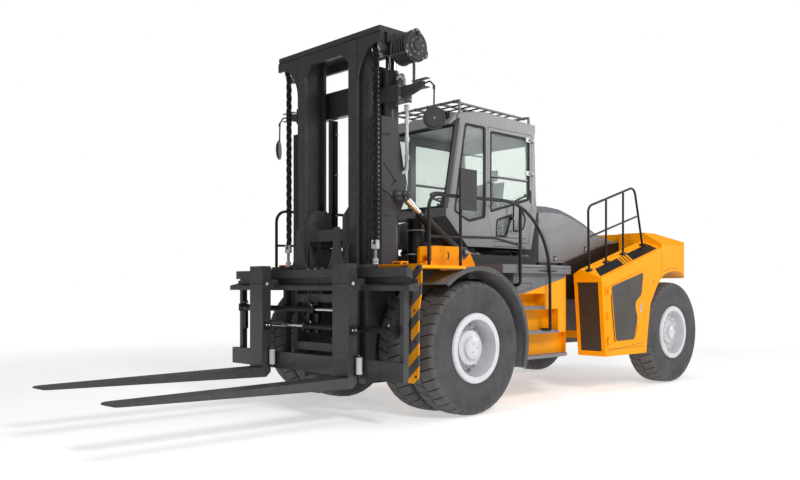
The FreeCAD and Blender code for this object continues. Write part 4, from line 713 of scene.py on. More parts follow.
def mast_fittings(piece):
    ribbon(piece, [(-0.792, 2.5), (-0.59, 2.41)], 0.014, 0.808, 0.824, mast)
    for radius, length in ((0.05, 0.006), (0.036, 0.012), (0.016, 0.017)):
        piece.pin(0.9615, length, -0.56, 2.43, radius, mast, 32)
    for t in turns(4, pi / 4):
        piece.bolt((0.9675, *polar(-0.56, 2.43, 0.043, t)), OUT, 0.006, steel)
    # the oil pipe beside the lift cylinder, with its unions
    x = 0.842
    piece.tube([(0.775, -0.52, 3.79), (x, -0.5, 3.8), (x, -0.5, 3.66)], 0.016, silver)
    piece.post(x, -0.447, 3.4, 3.462, 0.03, silver, 6)
    piece.tube([(x, -0.447, 3.462), (x, -0.447, 2.72), (0.77, -0.5, 2.69)], 0.019, silver)
    for z in (3.25, 3.05, 2.85):
        piece.post(x, -0.447, z, z + 0.05, 0.027, silver, 6)
    piece.post(x, -0.5, 3.652, 3.745, 0.03, silver, 6)
    # the mirror arm, bolted to the end of the box arm
    piece.loft([[piece.at(x, -0.58 + dy, z) for dy, z in rectangle(-t, t, z0, z1)]
                for x, z0, z1, t in ((0.905, 3.505, 3.625, 0.036), (1.06, 3.53, 3.628, 0.03),
                                     (1.235, 3.575, 3.64, 0.024))], mast)
    for z in (3.56, 3.655):
        piece.box(1.08, 1.305, -0.612, -0.548, z, z + 0.008, mast)
    piece.bolts((1.11, 1.16, 1.245, 1.285), (-0.597, -0.563), (3.663,), UP, 0.008, steel)
    piece.box(0.915, 0.925, -0.668, -0.452, 3.472, 3.658, mast)
    piece.bolts((0.925,), (-0.64, -0.48), (3.505, 3.625), OUT, 0.01, steel)
    # lifting eye on the arm
    eye = [polar(-0.585, 3.715, 0.048, pi * k / 8 - 0.3) for k in range(11)]
    piece.prism([(-0.635, 3.652), (-0.535, 3.652)] + eye, "x", 0.87, 0.884, silver)
    piece.pin(0.868, 0.018, -0.585, 3.716, 0.02, seal, 20)


for side, sign in SIDES:
    marks = Piece("mast_side_slots_" + side, sign)
    for width, path in ((0.026, [(-0.775, 3.098), (-0.685, 3.112)]),
                        (0.022, [(-0.762, 2.782), (-0.6, 2.602), (-0.65, 2.548)]),
                        (0.022, [(-0.775, 2.206), (-0.685, 2.212)])):
        ribbon(marks, path, width, 0.8095, 0.8112, seal)
    marks.done("outer_mast")
    fittings = Piece("mast_fittings_" + side, sign)
    mast_fittings(fittings)
    fittings.done("outer_mast", 0.002)

    mirror = Piece("mast_mirror_details_" + side, sign)
    face = Vector((-0.72, 0.69, 0)).normalized()
    centre = Vector((1.416, -0.6, 3.21))
    back = centre - face * 0.002
    mirror.rod(back, back - face * 0.004, 0.03, trim, 24)
    mirror.bolt(back - face * 0.004, -face, 0.012, steel)
    mirror.rod(centre + face * 0.0225, centre + face * 0.0235, 0.112, chrome, 40)
    mirror.post(1.4, -0.59, 3.52, 3.56, 0.014, trim, 10)
    mirror.done("outer_mast", 0.001)

head = Piece("mast_head_lip")
head.box(-0.922, 0.922, -0.9375, -0.929, 4.183, 4.236, mast)
# the dark strip just under the lip is painted shadow, the shade that the overhanging lip casts on the plate
# below
head.box(-0.917, 0.917, -0.932, -0.928, 4.168, 4.183, seal)
for head.sign in (1, -1):
    head.box(0.5385, 0.544, -0.934, -0.928, 3.68, 4.168, seal)
    head.box(0.4, 0.4055, -0.934, -0.928, 0.43, 3.925, mast)
    head.box(0.9345, 0.9405, -0.935, -0.893, 4.07, 4.18, mast)
    head.box(0.535, 0.542, -0.9345, -0.928, 0.43, 3.675, mast)
head.done("inner_mast", 0.0015)


def hose_reel():
    """Hoses wound side by side on a spool, behind a three-lobed end plate."""
    piece = Piece("hose_reel_visual")
    y, z = -0.67, 4.0
    for x, length, radius, sides in ((0.985, 0.24, 0.108, 40), (0.985, 0.008, 0.172, 48),
                                     (1.202, 0.008, 0.172, 48), (1.226, 0.01, 0.104, 36),
                                     (1.236, 0.012, 0.055, 28), (0.94, 0.05, 0.045, 24)):
        piece.pin(x, length, y, z, radius, mast, sides)
    for k in range(5):
        piece.lathe([polar(1.014 + k * 0.0405, 0.128, 0.0195, t) for t in turns(12)], y, z, rubber, 48)
    for k in range(6):
        x = 0.994 + k * 0.0405
        piece.lathe([(x, 0.105), (x, 0.162), (x + 0.003, 0.162), (x + 0.003, 0.105)], y, z, mast, 48)
    lobes = [polar(y, z, 0.15 + 0.04 * max(0.0, cos(3 * (t - pi / 2))) ** 1.5, t) for t in turns(36, pi / 2)]
    piece.prism(lobes, "x", 1.216, 1.226, mast)
    piece.box(1.226, 1.243, y - 0.014, y + 0.014, z + 0.02, z + 0.15, seal)
    for t in turns(3, pi / 2):
        a, b = polar(y, z, 0.172, t)
        piece.bolt((1.226, a, b), OUT, 0.014, steel)
        piece.pin(0.93, 0.29, a, b, 0.01, mast, 12)
        for turn in (-0.35, 0.35):
            piece.bolt((1.226, *polar(y, z, 0.155, t + turn)), OUT, 0.009, steel)
    for t in turns(8, 0.2):
        piece.bolt((1.236, *polar(y, z, 0.085, t)), OUT, 0.008, steel)
    piece.box(0.9, 0.94, y - 0.065, y + 0.065, z - 0.07, 4.178, mast)
    piece.box(0.925, 0.94, y - 0.165, y + 0.165, z + 0.075, 4.176, mast)
    piece.tube([(0.955, y + 0.1, z + 0.12), (0.945, y + 0.2, z + 0.1), (0.935, y + 0.245, z - 0.1),
                (0.93, y + 0.245, z - 0.33)], 0.016, rubber)
    piece.done("inner_mast", 0.0015, stands_for=("hose_reel",))


hose_reel()


# ---- carriage and forks ----
work = Piece("carriage_gussets")
swoop = [(0.046 + 0.15 * (1 - cos(pi * k / 16)), 2.09 - 0.465 * sin(pi * k / 16)) for k in range(9)]
for work.sign in (1, -1):
    work.prism([(0.346 + x, z) for x, z in swoop] + [(0.346 - x, z) for x, z in reversed(swoop)],
               "y", -1.066, -1.04, mast)
    work.prism([(-1.085, 1.626), (-0.94, 1.626), (-0.94, 1.9)], "x", 0.4, 0.424, mast)
    for length, radius, mat, sides in ((0.007, 0.06, mast, 36), (0.016, 0.036, mast, 30),
                                       (0.019, 0.015, seal, 16)):
        work.pin(0.2995, -length, -0.793, 2.18, radius, mat, sides)
    work.bolts((0.2995,), (-0.838, -0.745), (1.885, 1.945), (-1, 0, 0), 0.013, black)
    work.bolts((0.2995,), (-0.9, -0.7), (0.62, 1.42), (-1, 0, 0), 0.013, black)
work.done("carriage", 0.002)

grooves = Piece("carriage_grooves")
grooves.box(-1.556, 1.556, -1.1483, -1.14, 1.5235, 1.5295, seal)
grooves.box(-1.636, 1.636, -1.1893, -1.17, 1.4325, 1.44, seal)
grooves.box(-0.55, 0.55, -1.1488, -1.14, 1.612, 1.62, mast)
grooves.done("carriage")

plumbing = Piece("carriage_hoses")
for plumbing.sign, z in ((-1, 0.98), (1, 1.17)):
    for x in (-1.36, -1.26, 0.03):
        plumbing.pin(x - 0.018, 0.036, -1.165, z, 0.041, black, 20)
    for x, top in ((-1.3, 0.062), (0.01, 0.058)):
        plumbing.post(x, -1.15, z + 0.03, z + top, 0.013, steel, 6)
for x, y in ((-0.12, -1.105), (-0.075, -1.099), (0.075, -1.105), (0.12, -1.099)):
    plumbing.tube([(x, y + 0.04, 1.59), (x, y + 0.012, 1.44), (x * 0.8, y + 0.025, 1.26),
                   (x * 0.5, -1.14, 1.215)], 0.011, rubber, 10)
    plumbing.post(x, y + 0.04, 1.56, 1.62, 0.015, steel, 6)
plumbing.tube([(-0.01, -1.15, 1.228), (-0.06, -1.135, 1.3), (-0.16, -1.12, 1.29),
               (-0.2, -1.11, 1.1), (-0.1, -1.125, 1.052), (-0.01, -1.15, 1.038)], 0.01, rubber, 10)
plumbing.box(-0.17, 0.17, -1.09, -1.058, 1.6, 1.655, black)
plumbing.bolts((-0.13, 0.0, 0.13), (-1.09,), (1.628,), AHEAD, 0.011, steel)
plumbing.done("carriage", 0.001)

for side, sign in SIDES:
    x0, x1 = sign * 0.7835 - 0.1305, sign * 0.7835 + 0.1305
    fork = Piece("fork_details_" + side)
    fork.box(x0 + 0.001, x1 - 0.001, -1.366, -1.36, 1.456, 1.464, seal)
    for x, out in ((x0, -1), (x1, 1)):
        fork.pin(x, out * 0.006, -1.3, 1.46, 0.018, silver, 18)
        fork.box(x - 0.0006, x + 0.0006, -1.36, -1.2, 1.4565, 1.4635, seal)
    # the guide roller beside the heel
    roller = x1 + 0.052
    for z in (0.69, 0.5):
        fork.box(x1 - 0.002, roller + 0.03, -1.29, -1.25, z, z + 0.014, black)
    fork.post(roller, -1.262, 0.514, 0.69, 0.034, silver, 28)
    fork.post(roller, -1.262, 0.494, 0.712, 0.012, steel, 12)
    fork.box(x1 - 0.001, x1 + 0.024, -1.345, -1.255, 0.93, 1.01, black)
    fork.bolts((x1 + 0.024,), (-1.32, -1.28), (0.97,), OUT, 0.012, steel)
    fork.done("fork_" + side, 0.002)


# ---- decks and fenders ----
FENDER_Z = 0.7875       # height of the middle of the fender's arc
for side, sign in SIDES:
    deck = Piece("deck_details_" + side, sign)
    cheek = 1.0155
    spread = [-1.35 + 2.7 * k / 10 for k in range(11)]
    moon = [(0.03 + 0.036 * cos(t), 1.783 + 0.048 * sin(t)) for t in spread]
    moon += [(0.018 + 0.026 * cos(t), 1.783 + 0.036 * sin(t)) for t in reversed(spread)]
    deck.prism(moon, "x", cheek - 0.001, cheek + 0.0012, seal)
    for radius, length in ((0.062, 0.008), (0.04, 0.022)):
        deck.pin(cheek, length, 0.33, 1.83, radius, mast, 28)
    deck.box(cheek, cheek + 0.012, 0.23, 0.33, 1.752, 1.785, mast)
    deck.bolt((cheek + 0.012, 0.255, 1.768), OUT, 0.012, steel)
    deck.bolt((cheek + 0.022, 0.33, 1.83), OUT, 0.018, steel)
    # slotted clip and stops at the front of the deck
    deck.box(0.985, 1.115, -0.8, -0.69, 1.65, 1.7, yellow)
    deck.box(1.0, 1.1, -0.8015, -0.798, 1.664, 1.686, seal)
    deck.box(1.1145, 1.1165, -0.78, -0.71, 1.664, 1.686, seal)
    deck.box(0.89, 1.54, -0.926, -0.9, 1.652, 1.664, yellow)
    deck.bolts((1.24, 1.5), (-0.56, -0.44), (1.65,), UP, 0.012, yellow)
    for k in range(9):
        y = -0.86 + k * 0.068
        deck.box(1.29, 1.48, y, y + 0.012, 1.6495, 1.6545, yellow)
    deck.done("chassis", 0.002)

    guard = Piece("guard_bolts_" + side, sign)
    for x, z in ((1.3, 1.62), (1.5, 1.62), (1.45, 1.18), (1.45, 0.86), (1.33, 0.5), (1.47, 0.5)):
        guard.bolt((x, -0.927, z), AHEAD, 0.011, black)
    # the black strip along the inner edge of the striped plate is painted shade, the shadow in the gap
    # between the carriage's end and the plate
    guard.prism([(1.395, 0.76), (1.412, 0.76), (1.412, 1.178), (1.452, 1.4), (1.452, 1.56), (1.438, 1.56),
                 (1.438, 1.402), (1.398, 1.182)], "y", -0.9165, -0.88, black)
    guard.done("chassis", 0.001)

    # rubber edging along the fender's outer lip, and the bolts inside
    edge = Piece("fender_edging_" + side, sign)
    lip = ((0.0, 0.864), (0.0, 0.822), (0.014, 0.816), (0.018, 0.842), (0.012, 0.866))
    edge.loft([[edge.at(1.528 + dx, *polar(0, FENDER_Z, r, t)) for dx, r in lip]
               for t in (radians(-20.6 + 148.2 * k / 60) for k in range(61))], rubber)
    edge.done("chassis")
    flap = Piece("fender_inside_" + side, sign)
    for t in (radians(5 + 17 * k) for k in range(7)):
        for x in (1.5, 1.2):
            flap.bolt((x, *polar(0, FENDER_Z, 0.838, t)), (0, -cos(t), -sin(t)), 0.01, steel)
    flap.done("chassis")


# ---- tanks, walkways, steps and cabinets ----
def rounded(points, radius):
    """The same outline with its corners rounded."""
    pts = [Vector(p) for p in points]
    return [tuple(p) for three in zip(pts[-1:] + pts, pts, pts[1:] + pts[:1])
            for p in soft_corner(*three, radius, 5)]


SIDE_CORNER = (0.85, 1.805)    # x and y of the middle of the tank's rounded rear corner
CABINET_SIDE = 1.42            # outer face of the side cabinets


def side_edge(reach, y0, y1):
    """Points along the rounded edge of a side box that reaches out to x, from y0 to y1."""
    cx, cy = SIDE_CORNER
    if y1 <= cy:
        return [(reach, y0), (reach, y1)]
    full = asin(min(1.0, (y1 - cy) / (reach - cx)))
    return [(reach, y0)] + [polar(cx, cy, reach - cx, full * k / 14) for k in range(15)]


def inside_side(reach, x, y):
    cx, cy = SIDE_CORNER
    return y < cy or x < cx or hypot(x - cx, y - cy) < reach - cx


def edge_band(piece, reach, y0, y1, thick, z0, z1, mat):
    """A strip that lies against the rounded edge."""
    cx, cy = SIDE_CORNER
    rings = []
    for x, y in side_edge(reach, y0, y1):
        way = Vector((x - cx, y - cy)).normalized() if y > cy else Vector((1, 0))
        rings.append([piece.at(x + way.x * out, y + way.y * out, z)
                      for out, z in rectangle(0, thick, z0, z1)])
    piece.loft(rings, mat)


def roof_patch(piece, corners):
    """A thin black plate that lies on the cabinet's sloping roof. Corners are (x, y)."""
    piece.loft([[piece.at(x, y, roof_z(x, y) + lift) for x, y in corners] for lift in (-0.0005, 0.0025)],
               black)


def roof_z(x, y):
    return 1.557 + 0.45 / 1.595 * (y - 2.585) + 0.103 * (1.385 - x) / 0.305


def front_y(z):
    """The leaning front of a side cabinet."""
    return 2.585 + 0.105 * (1.545 - z) / 1.055


DOOR_WINDOW = rounded([(2.805, 1.437), (3.661, 1.642), (3.613, 1.319), (3.452, 1.222), (3.462, 1.104),
                       (3.509, 0.985), (3.415, 0.679), (2.927, 0.677)], 0.055)


def strip_between(piece, outer, inner, x_low, x_high, mat):
    """A closed strip between two outlines in the (y, z) plane."""
    rings = [[piece.at(x_low, *p), piece.at(x_high, *p), piece.at(x_high, *q), piece.at(x_low, *q)]
             for p, q in zip(outer, inner)]
    piece.loft(rings + rings[:1], mat, caps=False)


def narrowed(outline, width):
    """The outline drawn towards its middle by the same amount all round."""
    centre = sum((Vector(p) for p in outline), Vector((0, 0))) / len(outline)
    return [Vector(p) + (centre - Vector(p)).normalized() * width for p in outline]


for side, sign in SIDES:
    door = Piece("cabinet_grille_" + side, sign)
    x = CABINET_SIDE + 0.0002
    door.prism(DOOR_WINDOW, "x", x - 0.012, x + 0.0006, seal)
    door.prism(DOOR_WINDOW, "x", x + 0.0022, x + 0.0032, side_mesh)
    strip_between(door, DOOR_WINDOW, narrowed(DOOR_WINDOW, 0.014), x - 0.002, x + 0.0042, yellow)
    for z in (0.7, 1.03, 1.37):
        y = 2.728 - (z - 0.7) * 0.0945
        door.box(x, x + 0.01, y + 0.012, y + 0.052, z - 0.05, z + 0.05, yellow)
        door.post(x + 0.012, y + 0.02, z - 0.052, z + 0.052, 0.009, yellow, 14)
        door.bolts((x + 0.01,), (y + 0.04,), (z - 0.028, z + 0.028), OUT, 0.007, steel)
    latch = rounded([(3.56, 1.075), (3.605, 1.075), (3.612, 1.13), (3.6, 1.19), (3.565, 1.19)], 0.014)
    door.prism(latch, "x", x, x + 0.007, silver)
    door.pin(x, 0.012, 3.585, 1.11, 0.011, steel, 16)
    door.prism([(3.572, 1.13), (3.598, 1.13), (3.596, 1.178), (3.574, 1.178)], "x", x + 0.006, x + 0.014,
               chrome)
    door.done("cabinet_door_" + side, 0.0012)

    panel = Piece("cabinet_panel_lines_" + side, sign)
    # bare black strips with three slanted bars between them
    roof_patch(panel, [(1.384, 2.612), (1.205, 2.765), (1.205, 3.315), (1.384, 3.205)])
    roof_patch(panel, [(1.384, 3.437), (1.205, 3.56), (1.205, 4.14), (1.384, 4.09)])
    for y in (3.24, 3.308, 3.376):
        roof_patch(panel, [(1.384, y), (1.205, y + 0.112), (1.205, y + 0.134), (1.384, y + 0.022)])
    # joints of the sheet metal
    for width, line in ((0.006, [(4.172, 1.976), (4.169, 1.605), (4.1, 1.535)]),
                        (0.005, [(2.735, 0.56), (3.64, 0.64)])):
        ribbon(panel, line, width, CABINET_SIDE - 0.0005, CABINET_SIDE + 0.0008, seal)
    panel.pin(CABINET_SIDE - 0.001, 0.002, 3.94, 1.5, 0.012, seal, 16)
    for y in (2.9, 3.3, 3.7, 4.05):
        panel.bolt((1.13, y, roof_z(1.13, y)), UP, 0.008, yellow)
    panel.done("chassis", 0.0006)

    front = Piece("cabinet_front_grille_" + side, sign)
    for depth, mat in ((0.011, seal), (0.0085, front_mesh)):
        front.loft([[front.at(x, front_y(z) + depth + thick, z)
                     for x, z in rectangle(1.03, 1.372, 0.56, 1.485)] for thick in (0, 0.0012)], mat)
    for z in (0.545, 1.5):
        front.box(1.01, 1.395, front_y(z) - 0.002, front_y(z) + 0.01, z - 0.01, z + 0.01, yellow)
    for z in (0.6, 0.9, 1.2, 1.45):
        for x in (1.018, 1.388):
            front.bolt((x, front_y(z), z), (0, -1, 0.1), 0.008, yellow)
    front.done("chassis", 0.0008)

    step = Piece("step_treads_" + side, sign)
    for z, rear in ((0.545, 2.06), (0.85, 1.78), (1.15, 1.5)):
        top = z + 0.0285
        step.prism([(1.165, rear - 0.012), (1.165, 0.912)] + side_edge(1.304, 0.912, rear - 0.012),
                   "z", top, top + 0.005, grey)
        for k in range(int((rear - 0.95) / 0.042)):
            for row in range(4):
                x, y = 1.186 + row * 0.034, 0.935 + k * 0.042 + 0.01 * (row % 2)
                if inside_side(1.3, x, y):
                    step.post(x, y, top + 0.005, top + 0.009, 0.008, steel, 6)
        edge_band(step, 1.3125, 0.905, rear - 0.004, 0.005, z - 0.004, z + 0.034, grey)
        if rear < SIDE_CORNER[1]:
            for back in (0.045, 0.075):
                step.pin(1.3175, 0.002, rear - back, z + 0.014, 0.008, seal, 14)
    step.done("chassis", 0.001)

    walk = Piece("walkway_details_" + side, sign)
    edge_band(walk, 1.364, 0.905, 2.319, 0.0012, 1.668, 1.692, grey)
    edge_band(walk, 1.364, 0.905, 2.319, 0.0018, 1.6555, 1.6625, seal)
    walk.box(1.365, 1.3658, 1.29, 1.66, 1.612, 1.63, seal)
    plate = [(0.918, 1.467), (1.221, 1.467), (1.23, 1.413), (0.918, 1.347), (0.918, 1.467)]
    for line in zip(plate, plate[1:]):
        ribbon(walk, line, 0.006, 1.2995, 1.3011, seal)
    for k in range(26):
        y = 0.96 + k * 0.053
        for row in range(3):
            x = 0.99 + row * 0.135 + 0.03 * (k % 2)
            if inside_side(1.35, x + 0.034, y + 0.01):
                walk.box(x - 0.034, x + 0.034, y, y + 0.01, 1.69, 1.6945, black)
    walk.post(1.12, 2.1, 1.69, 1.722, 0.06, black, 28)
    walk.post(1.12, 2.1, 1.722, 1.736, 0.046, black, 28)
    walk.done("chassis", 0.001)


# ---- cab ----
QUARTER_PANE = [(0.7, 3.44), (1.08, 3.44), (1.08, 2.302), (0.77, 2.232), (0.5, 2.345)]
DOOR_UPPER = [(1.18, 3.405), (1.18, 2.375), (1.63, 2.49), (1.985, 2.585), (1.985, 3.405)]
DOOR_LOWER = [(1.3, 2.29), (1.29, 2.07), (1.5, 2.07), (1.625, 2.375)]
CAB_SIDE = 0.69        # outer face of the cab's doors


def inset(outline, amount):
    """The outline moved inwards all round, its corners kept."""
    pts = [Vector(p) for p in outline]
    threes = list(zip(pts[-1:] + pts, pts, pts[1:] + pts[:1]))
    turn = 1 if sum(b.cross(c) for a, b, c in threes) > 0 else -1
    result = []
    for a, b, c in threes:
        u, w = (b - a).normalized(), (c - b).normalized()
        nu, nw = Vector((-u.y, u.x)) * turn, Vector((-w.y, w.x)) * turn
        corner = (nu + nw).normalized()
        result.append(b + corner * amount / max(0.3, corner.dot(nu)))
    return result


def gasket(piece, outline, width, outside, behind, proud):
    """A strip of rubber that follows the edge of an opening in the cab's side."""
    strip_between(piece, rounded(inset(outline, -outside), 0.045), rounded(inset(outline, width), 0.04),
                  CAB_SIDE - behind, CAB_SIDE + proud, seal)


for side, sign in SIDES:
    door = Piece("door_trim_" + side, sign)
    gasket(door, DOOR_UPPER, 0.02, 0.006, 0.012, 0.0025)
    gasket(door, DOOR_LOWER, 0.018, 0.006, 0.012, 0.0025)
    door.box(CAB_SIDE - 0.034, CAB_SIDE - 0.006, 1.181, 1.984, 2.822, 2.834, seal)
    # grab loops
    x = CAB_SIDE + 0.052
    for loop in ([(CAB_SIDE, 1.583, 2.3), (x, 1.583, 2.33), (x, 1.583, 2.5), (x, 1.65, 2.562),
                  (x, 1.86, 2.628), (CAB_SIDE, 1.89, 2.64)],
                 [(CAB_SIDE, 1.583, 2.33), (x, 1.583, 2.3), (x, 1.583, 2.14), (x, 1.79, 2.18),
                  (x, 1.833, 2.33), (CAB_SIDE, 1.833, 2.42)]):
        door.tube(loop, 0.011, black, bend=0.05)
    for y, z in ((1.583, 2.3), (1.89, 2.64), (1.833, 2.42)):
        door.pin(CAB_SIDE, 0.005, y, z, 0.022, black)
    door.box(CAB_SIDE - 0.001, CAB_SIDE + 0.008, 1.995, 2.018, 2.55, 2.715, seal)
    for z in (2.939, 3.384):
        door.box(CAB_SIDE - 0.001, CAB_SIDE + 0.007, 1.905, 2.016, z - 0.03, z + 0.03, silver)
        door.bolts((CAB_SIDE + 0.007,), (1.925, 1.965), (z,), OUT, 0.009, steel)
        door.post(0.708, 2.04, z - 0.0205, z + 0.0205, 0.0135, silver, 18)
    door.done("cab_door_" + side, 0.001)

    pane = Piece("cab_side_trim_" + side, sign)
    gasket(pane, QUARTER_PANE, 0.024, 0.008, 0.014, 0.002)
    for y0, y1, z0, z1 in ((1.1285, 1.1325, 2.3, 3.452), (1.1325, 2.027, 3.4515, 3.456),
                           (2.0265, 2.03, 2.3, 3.452)):
        pane.box(CAB_SIDE - 0.004, CAB_SIDE + 0.0012, y0, y1, z0, z1, seal)
    pane.tube([(CAB_SIDE - 0.006, 0.62, 3.44), (CAB_SIDE + 0.003, 0.605, 3.4),
               (CAB_SIDE + 0.003, 0.42, 2.45)], 0.005, grey)
    # rubber mounts under the cab, with their bolts
    for y in (0.9, 1.9):
        pane.post(0.56, y, 1.852, 1.898, 0.0795, seal, 32)
        pane.box(0.47, 0.686, y - 0.09, y + 0.09, 1.8305, 1.842, grey)
        pane.bolts((0.655, 0.5), (y - 0.065, y + 0.065), (1.842,), UP, 0.014, steel, 0.014)
    for k in range(7):
        z = 1.7 + k * 0.06
        pane.box(0.689, 0.6935, 1.25, 1.9, z, z + 0.008, seal)
    pane.done("chassis", 0.001)


def screen_y(z):
    """Outer face of the leaning windscreen frame."""
    return 0.384 + 0.219 * (z - 2.367) / 1.123


cab = Piece("cab_front_trim")
for x0, x1, z0, z1 in ((-0.622, -0.598, 2.395, 3.418), (0.598, 0.622, 2.395, 3.418),
                       (-0.622, 0.622, 2.388, 2.412), (-0.622, 0.622, 3.398, 3.422)):
    cab.loft([[cab.at(x, screen_y(z) + depth, z) for x, z in rectangle(x0, x1, z0, z1)]
              for depth in (-0.003, 0.012)], seal)
# the wiper
cab.rod((0.08, screen_y(2.375) + 0.01, 2.372), (0.08, screen_y(2.375) - 0.03, 2.368), 0.016, seal, 14)
cab.rod((0.08, screen_y(2.375) - 0.02, 2.372), (-0.16, screen_y(2.93) - 0.016, 2.93), 0.006, seal, 8)
cab.rod((-0.15, screen_y(2.56) - 0.01, 2.56), (-0.175, screen_y(3.3) - 0.01, 3.3), 0.007, seal, 8)
# work lamps
for cab.sign in (-1, 1):
    cab.box(0.43, 0.6, 0.47, 0.52, 3.4905, 3.56, black)
    cab.rod((0.515, 0.462, 3.53), (0.515, 0.48, 3.53), 0.034, rim, 24)
    cab.box(0.28, 0.65, 0.365, 0.38, 2.285, 2.36, trim)
    cab.rod((0.4, 0.36, 2.322), (0.4, 0.372, 2.322), 0.026, rim, 20)
# the roof guard's bars and feet
for k in range(7):
    cab.box(-0.56, 0.56, 0.82 + k * 0.165, 0.836 + k * 0.165, 3.706, 3.722, black)
for k in range(6):
    for y, z in ((0.64, 3.718), (2.02, 3.698)):
        cab.post(-0.56 + k * 0.224, y, z - 0.019, z + 0.016, 0.0185, black, 10)
cab.done("chassis", 0.001)


# ---- seat ----
def pad(name, centre, half, top, bottom, tilt, channels):
    """A stuffed pad with crowned faces, sides that pull in between its corners, channels and piping.

    tilt turns it back about the X axis; its face looks along the turned Z.
    """
    piece = Piece(name)
    cells = 26
    spin = Matrix.Rotation(tilt, 3, "X")
    up = spin @ Vector((0, 0, 1))

    def place(u, v, depth=0.0):
        width = u * (1 - 0.05 * (1 - v * v)) * (0.8 + 0.2 * sqrt(1 - v * v / 2))
        length = v * (1 - 0.04 * (1 - u * u)) * (0.8 + 0.2 * sqrt(1 - u * u / 2))
        return piece.at(*centre) + spin @ Vector((width * half[0], length * half[1], depth))

    def swell(u, v):
        edge = sqrt(max(0.0, (1 - abs(u) ** 5) * (1 - abs(v) ** 5)))
        crown = 0.78 + 0.22 * (1 - u * u) * (1 - v * v)
        groove = sum(exp(-((u - at) / 0.045) ** 2) for at in channels)
        groove += 0.8 * exp(-((v + 0.15) / 0.045) ** 2)
        return edge * (crown - 0.13 * groove)

    def underside(u, v):
        return -sqrt(max(0.0, (1 - u ** 8) * (1 - v ** 8)))

    steps = [-cos(pi * i / cells) for i in range(cells + 1)]
    starts = [i * (cells + 1) + j for i in range(cells) for j in range(cells)]
    for reach, depth in ((top, swell), (bottom, underside)):
        piece.faces([place(u, v, reach * depth(u, v)) for u in steps for v in steps],
                    [(a, a + 1, a + cells + 2, a + cells + 1) for a in starts], seat_cloth)
    bmesh.ops.remove_doubles(piece.bm, verts=piece.bm.verts, dist=0.0002)
    border = [(u, -1) for u in steps] + [(1, v) for v in steps[1:]]
    border += [(u, 1) for u in steps[-2::-1]] + [(-1, v) for v in steps[-2:0:-1]]
    rings = []
    for k in range(len(border)):
        ahead = place(*border[(k + 1) % len(border)]) - place(*border[k - 1])
        rings.append(ring_round(place(*border[k]), ahead.normalized().cross(up), up, 0.0045, 8))
    piece.loft(rings + rings[:1], trim, caps=False)
    piece.done("chassis", smooth=60)


pad("seat_cushion", (0, 1.65, 2.182), (0.252, 0.246), 0.066, 0.07, 0.0, (-0.5, 0.5))
pad("seat_backrest", (0, 1.931, 2.545), (0.242, 0.34), 0.046, 0.04, radians(79.3), (-0.5, 0.5))
pad("seat_headrest", (0, 2.005, 2.968), (0.128, 0.078), 0.03, 0.03, radians(83), ())

seat_frame = Piece("seat_frame")
for k in range(5):
    z, fold = 1.985 + k * 0.024, 0.012 * (k % 2)
    seat_frame.box(-0.165 + fold, 0.165 - fold, 1.485 + fold, 1.875 - fold, z, z + 0.024, seal)
for z0, z1 in ((1.961, 1.985), (2.1, 2.112)):
    seat_frame.box(-0.17, 0.17, 1.48, 1.88, z0, z1, trim)
for seat_frame.sign in (-1, 1):
    seat_frame.prism(rounded(rectangle(1.49, 1.895, 2.405, 2.448), 0.02), "x", 0.258, 0.322, trim)
    seat_frame.box(0.256, 0.276, 1.862, 1.898, 2.12, 2.408, trim)
    seat_frame.rod((0.05, 2.01, 2.86), (0.05, 2.014, 2.905), 0.007, chrome, 10)
seat_frame.prism([(1.93, 2.215), (1.941, 2.21), (2.034, 2.868), (2.024, 2.872)], "x", -0.225, 0.225, trim)
seat_frame.rod((-0.2, 1.44, 2.108), (-0.2, 1.5, 2.118), 0.012, trim, 12)
seat_frame.done("chassis", 0.003, stands_for=("seat",))


# ---- hood, counterweight and small fittings ----
CREST = ((2.19, 2.49), (2.375, 2.54), (2.55, 2.565), (2.75, 2.571), (3.056, 2.55),
         (3.372, 2.475), (3.7, 2.37), (3.85, 2.305), (4.255, 2.123))


def on_crest(y):
    """Height of the hood's crest."""
    for (ya, za), (yb, zb) in zip(CREST, CREST[1:]):
        if y <= yb:
            return za + (zb - za) * (y - ya) / (yb - ya)
    return CREST[-1][1]


hood = Piece("hood_fittings")
for k in range(14):
    y = 2.82 + k * 0.052
    low, high = on_crest(y), on_crest(y + 0.03)
    hood.prism([(y, low - 0.004), (y + 0.03, high - 0.004), (y + 0.026, high + 0.01),
                (y + 0.004, low + 0.006)], "x", -0.3, 0.3, grey)
for hood.sign in (-1, 1):
    for path in ([(2.434, 1.79), (2.434, 1.915), (2.205, 2.35)],
                 [(2.21, 1.79), (3.0, 1.79), (3.24, 1.92), (3.64, 2.03)]):
        ribbon(hood, path, 0.005, 0.6895, 0.6908, seal)
    for y, z in ((2.56, 1.82), (3.3, 1.97)):
        hood.box(0.688, 0.698, y - 0.022, y + 0.022, z - 0.035, z + 0.035, trim)
        hood.box(0.697, 0.703, y - 0.01, y + 0.01, z - 0.026, z + 0.012, silver)
    hood.tube([(0.3, y, on_crest(y) + up)
               for y, up in ((2.3, -0.004), (2.3, 0.02), (2.44, 0.02), (2.44, -0.004))],
              0.008, trim, bend=0.018)
hood.done("hood", 0.001)

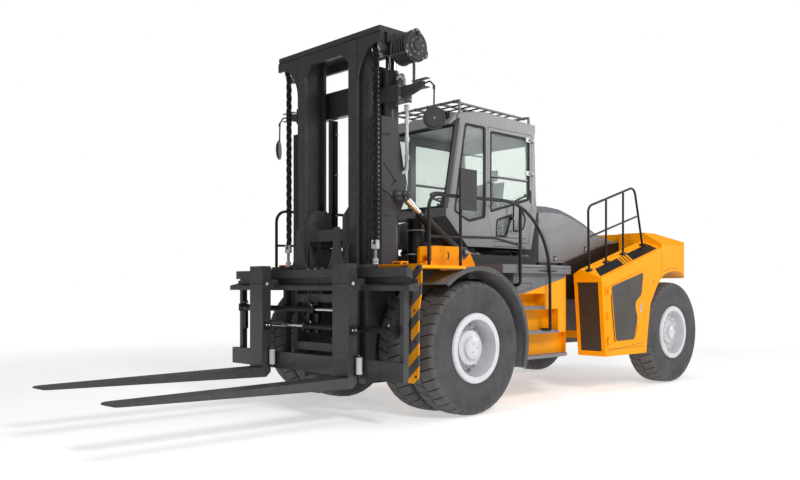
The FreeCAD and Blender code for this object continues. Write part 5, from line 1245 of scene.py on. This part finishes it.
tail = Piece("counterweight_fittings")
for tail.sign in (-1, 1):
    # tail lamps
    for x0, x1, z0, z1, radius, y0, y1, mat in (
            (0.48, 0.65, 1.7, 1.78, 0.012, 5.384, 5.398, seal),
            (0.49, 0.565, 1.708, 1.772, 0.01, 5.39, 5.3995, lamp_red),
            (0.57, 0.64, 1.708, 1.772, 0.01, 5.39, 5.3995, lamp_amber)):
        tail.prism(rounded(rectangle(x0, x1, z0, z1), radius), "y", y0, y1, mat)
    ribbon(tail, [(4.2, 1.64), (4.42, 1.7), (4.68, 1.69)], 0.006, 1.419, 1.4207, seal)
    tail.post(1.0, 4.5, 2.08, 2.15, 0.03, seal, 20)
# the drawbar pin and its handle
tail.post(0, 5.27, 1.198, 1.29, 0.0225, steel, 20)
tail.tube([(x, 5.27, z) for x, z in ((-0.05, 1.288), (-0.05, 1.345), (0.05, 1.345), (0.05, 1.288))],
          0.009, steel, bend=0.03)
tail.pin(-0.055, 0.11, 5.27, 1.288, 0.01, steel, 12)
tail.done("chassis", 0.001)

# clamp bands and the slotted cap of the air cleaner
intake = Piece("air_cleaner_fittings")
for z in (1.8, 2.08):
    for t in turns(24):
        intake.rod((*polar(0.655, -0.12, 0.101, t), z), (*polar(0.655, -0.12, 0.101, t + 0.27), z), 0.006,
                   silver, 6)
for t in turns(12):
    x, y = polar(0.655, -0.12, 0.103, t)
    intake.box(x - 0.006, x + 0.006, y - 0.006, y + 0.006, 2.184, 2.212, seal)
intake.done("chassis", 0.0008)

# hoses that run up behind the outer rails
for side, sign in SIDES:
    hoses = Piece("mast_hoses_" + side, sign)
    for x, y, z0, z1 in ((0.45, -0.5295, 1.345, 1.895), (0.45, -0.5295, 2.055, 3.475),
                         (0.438, -0.401, 1.345, 3.475)):
        hoses.box(x, 0.456, y, -0.395, z0, z1, mast)
    for x, y in ((0.43, -0.446), (0.436, -0.422)):
        hoses.tube([(x, y, 1.36), (x, y, 3.46)], 0.0105, seal)
    for z in (1.7, 2.3, 2.8, 3.3):
        hoses.box(0.418, 0.45, -0.46, -0.408, z - 0.016, z + 0.016, trim)
        hoses.bolt((0.418, -0.434, z), (-1, 0, 0), 0.007, steel)
    hoses.done("outer_mast", 0.001)
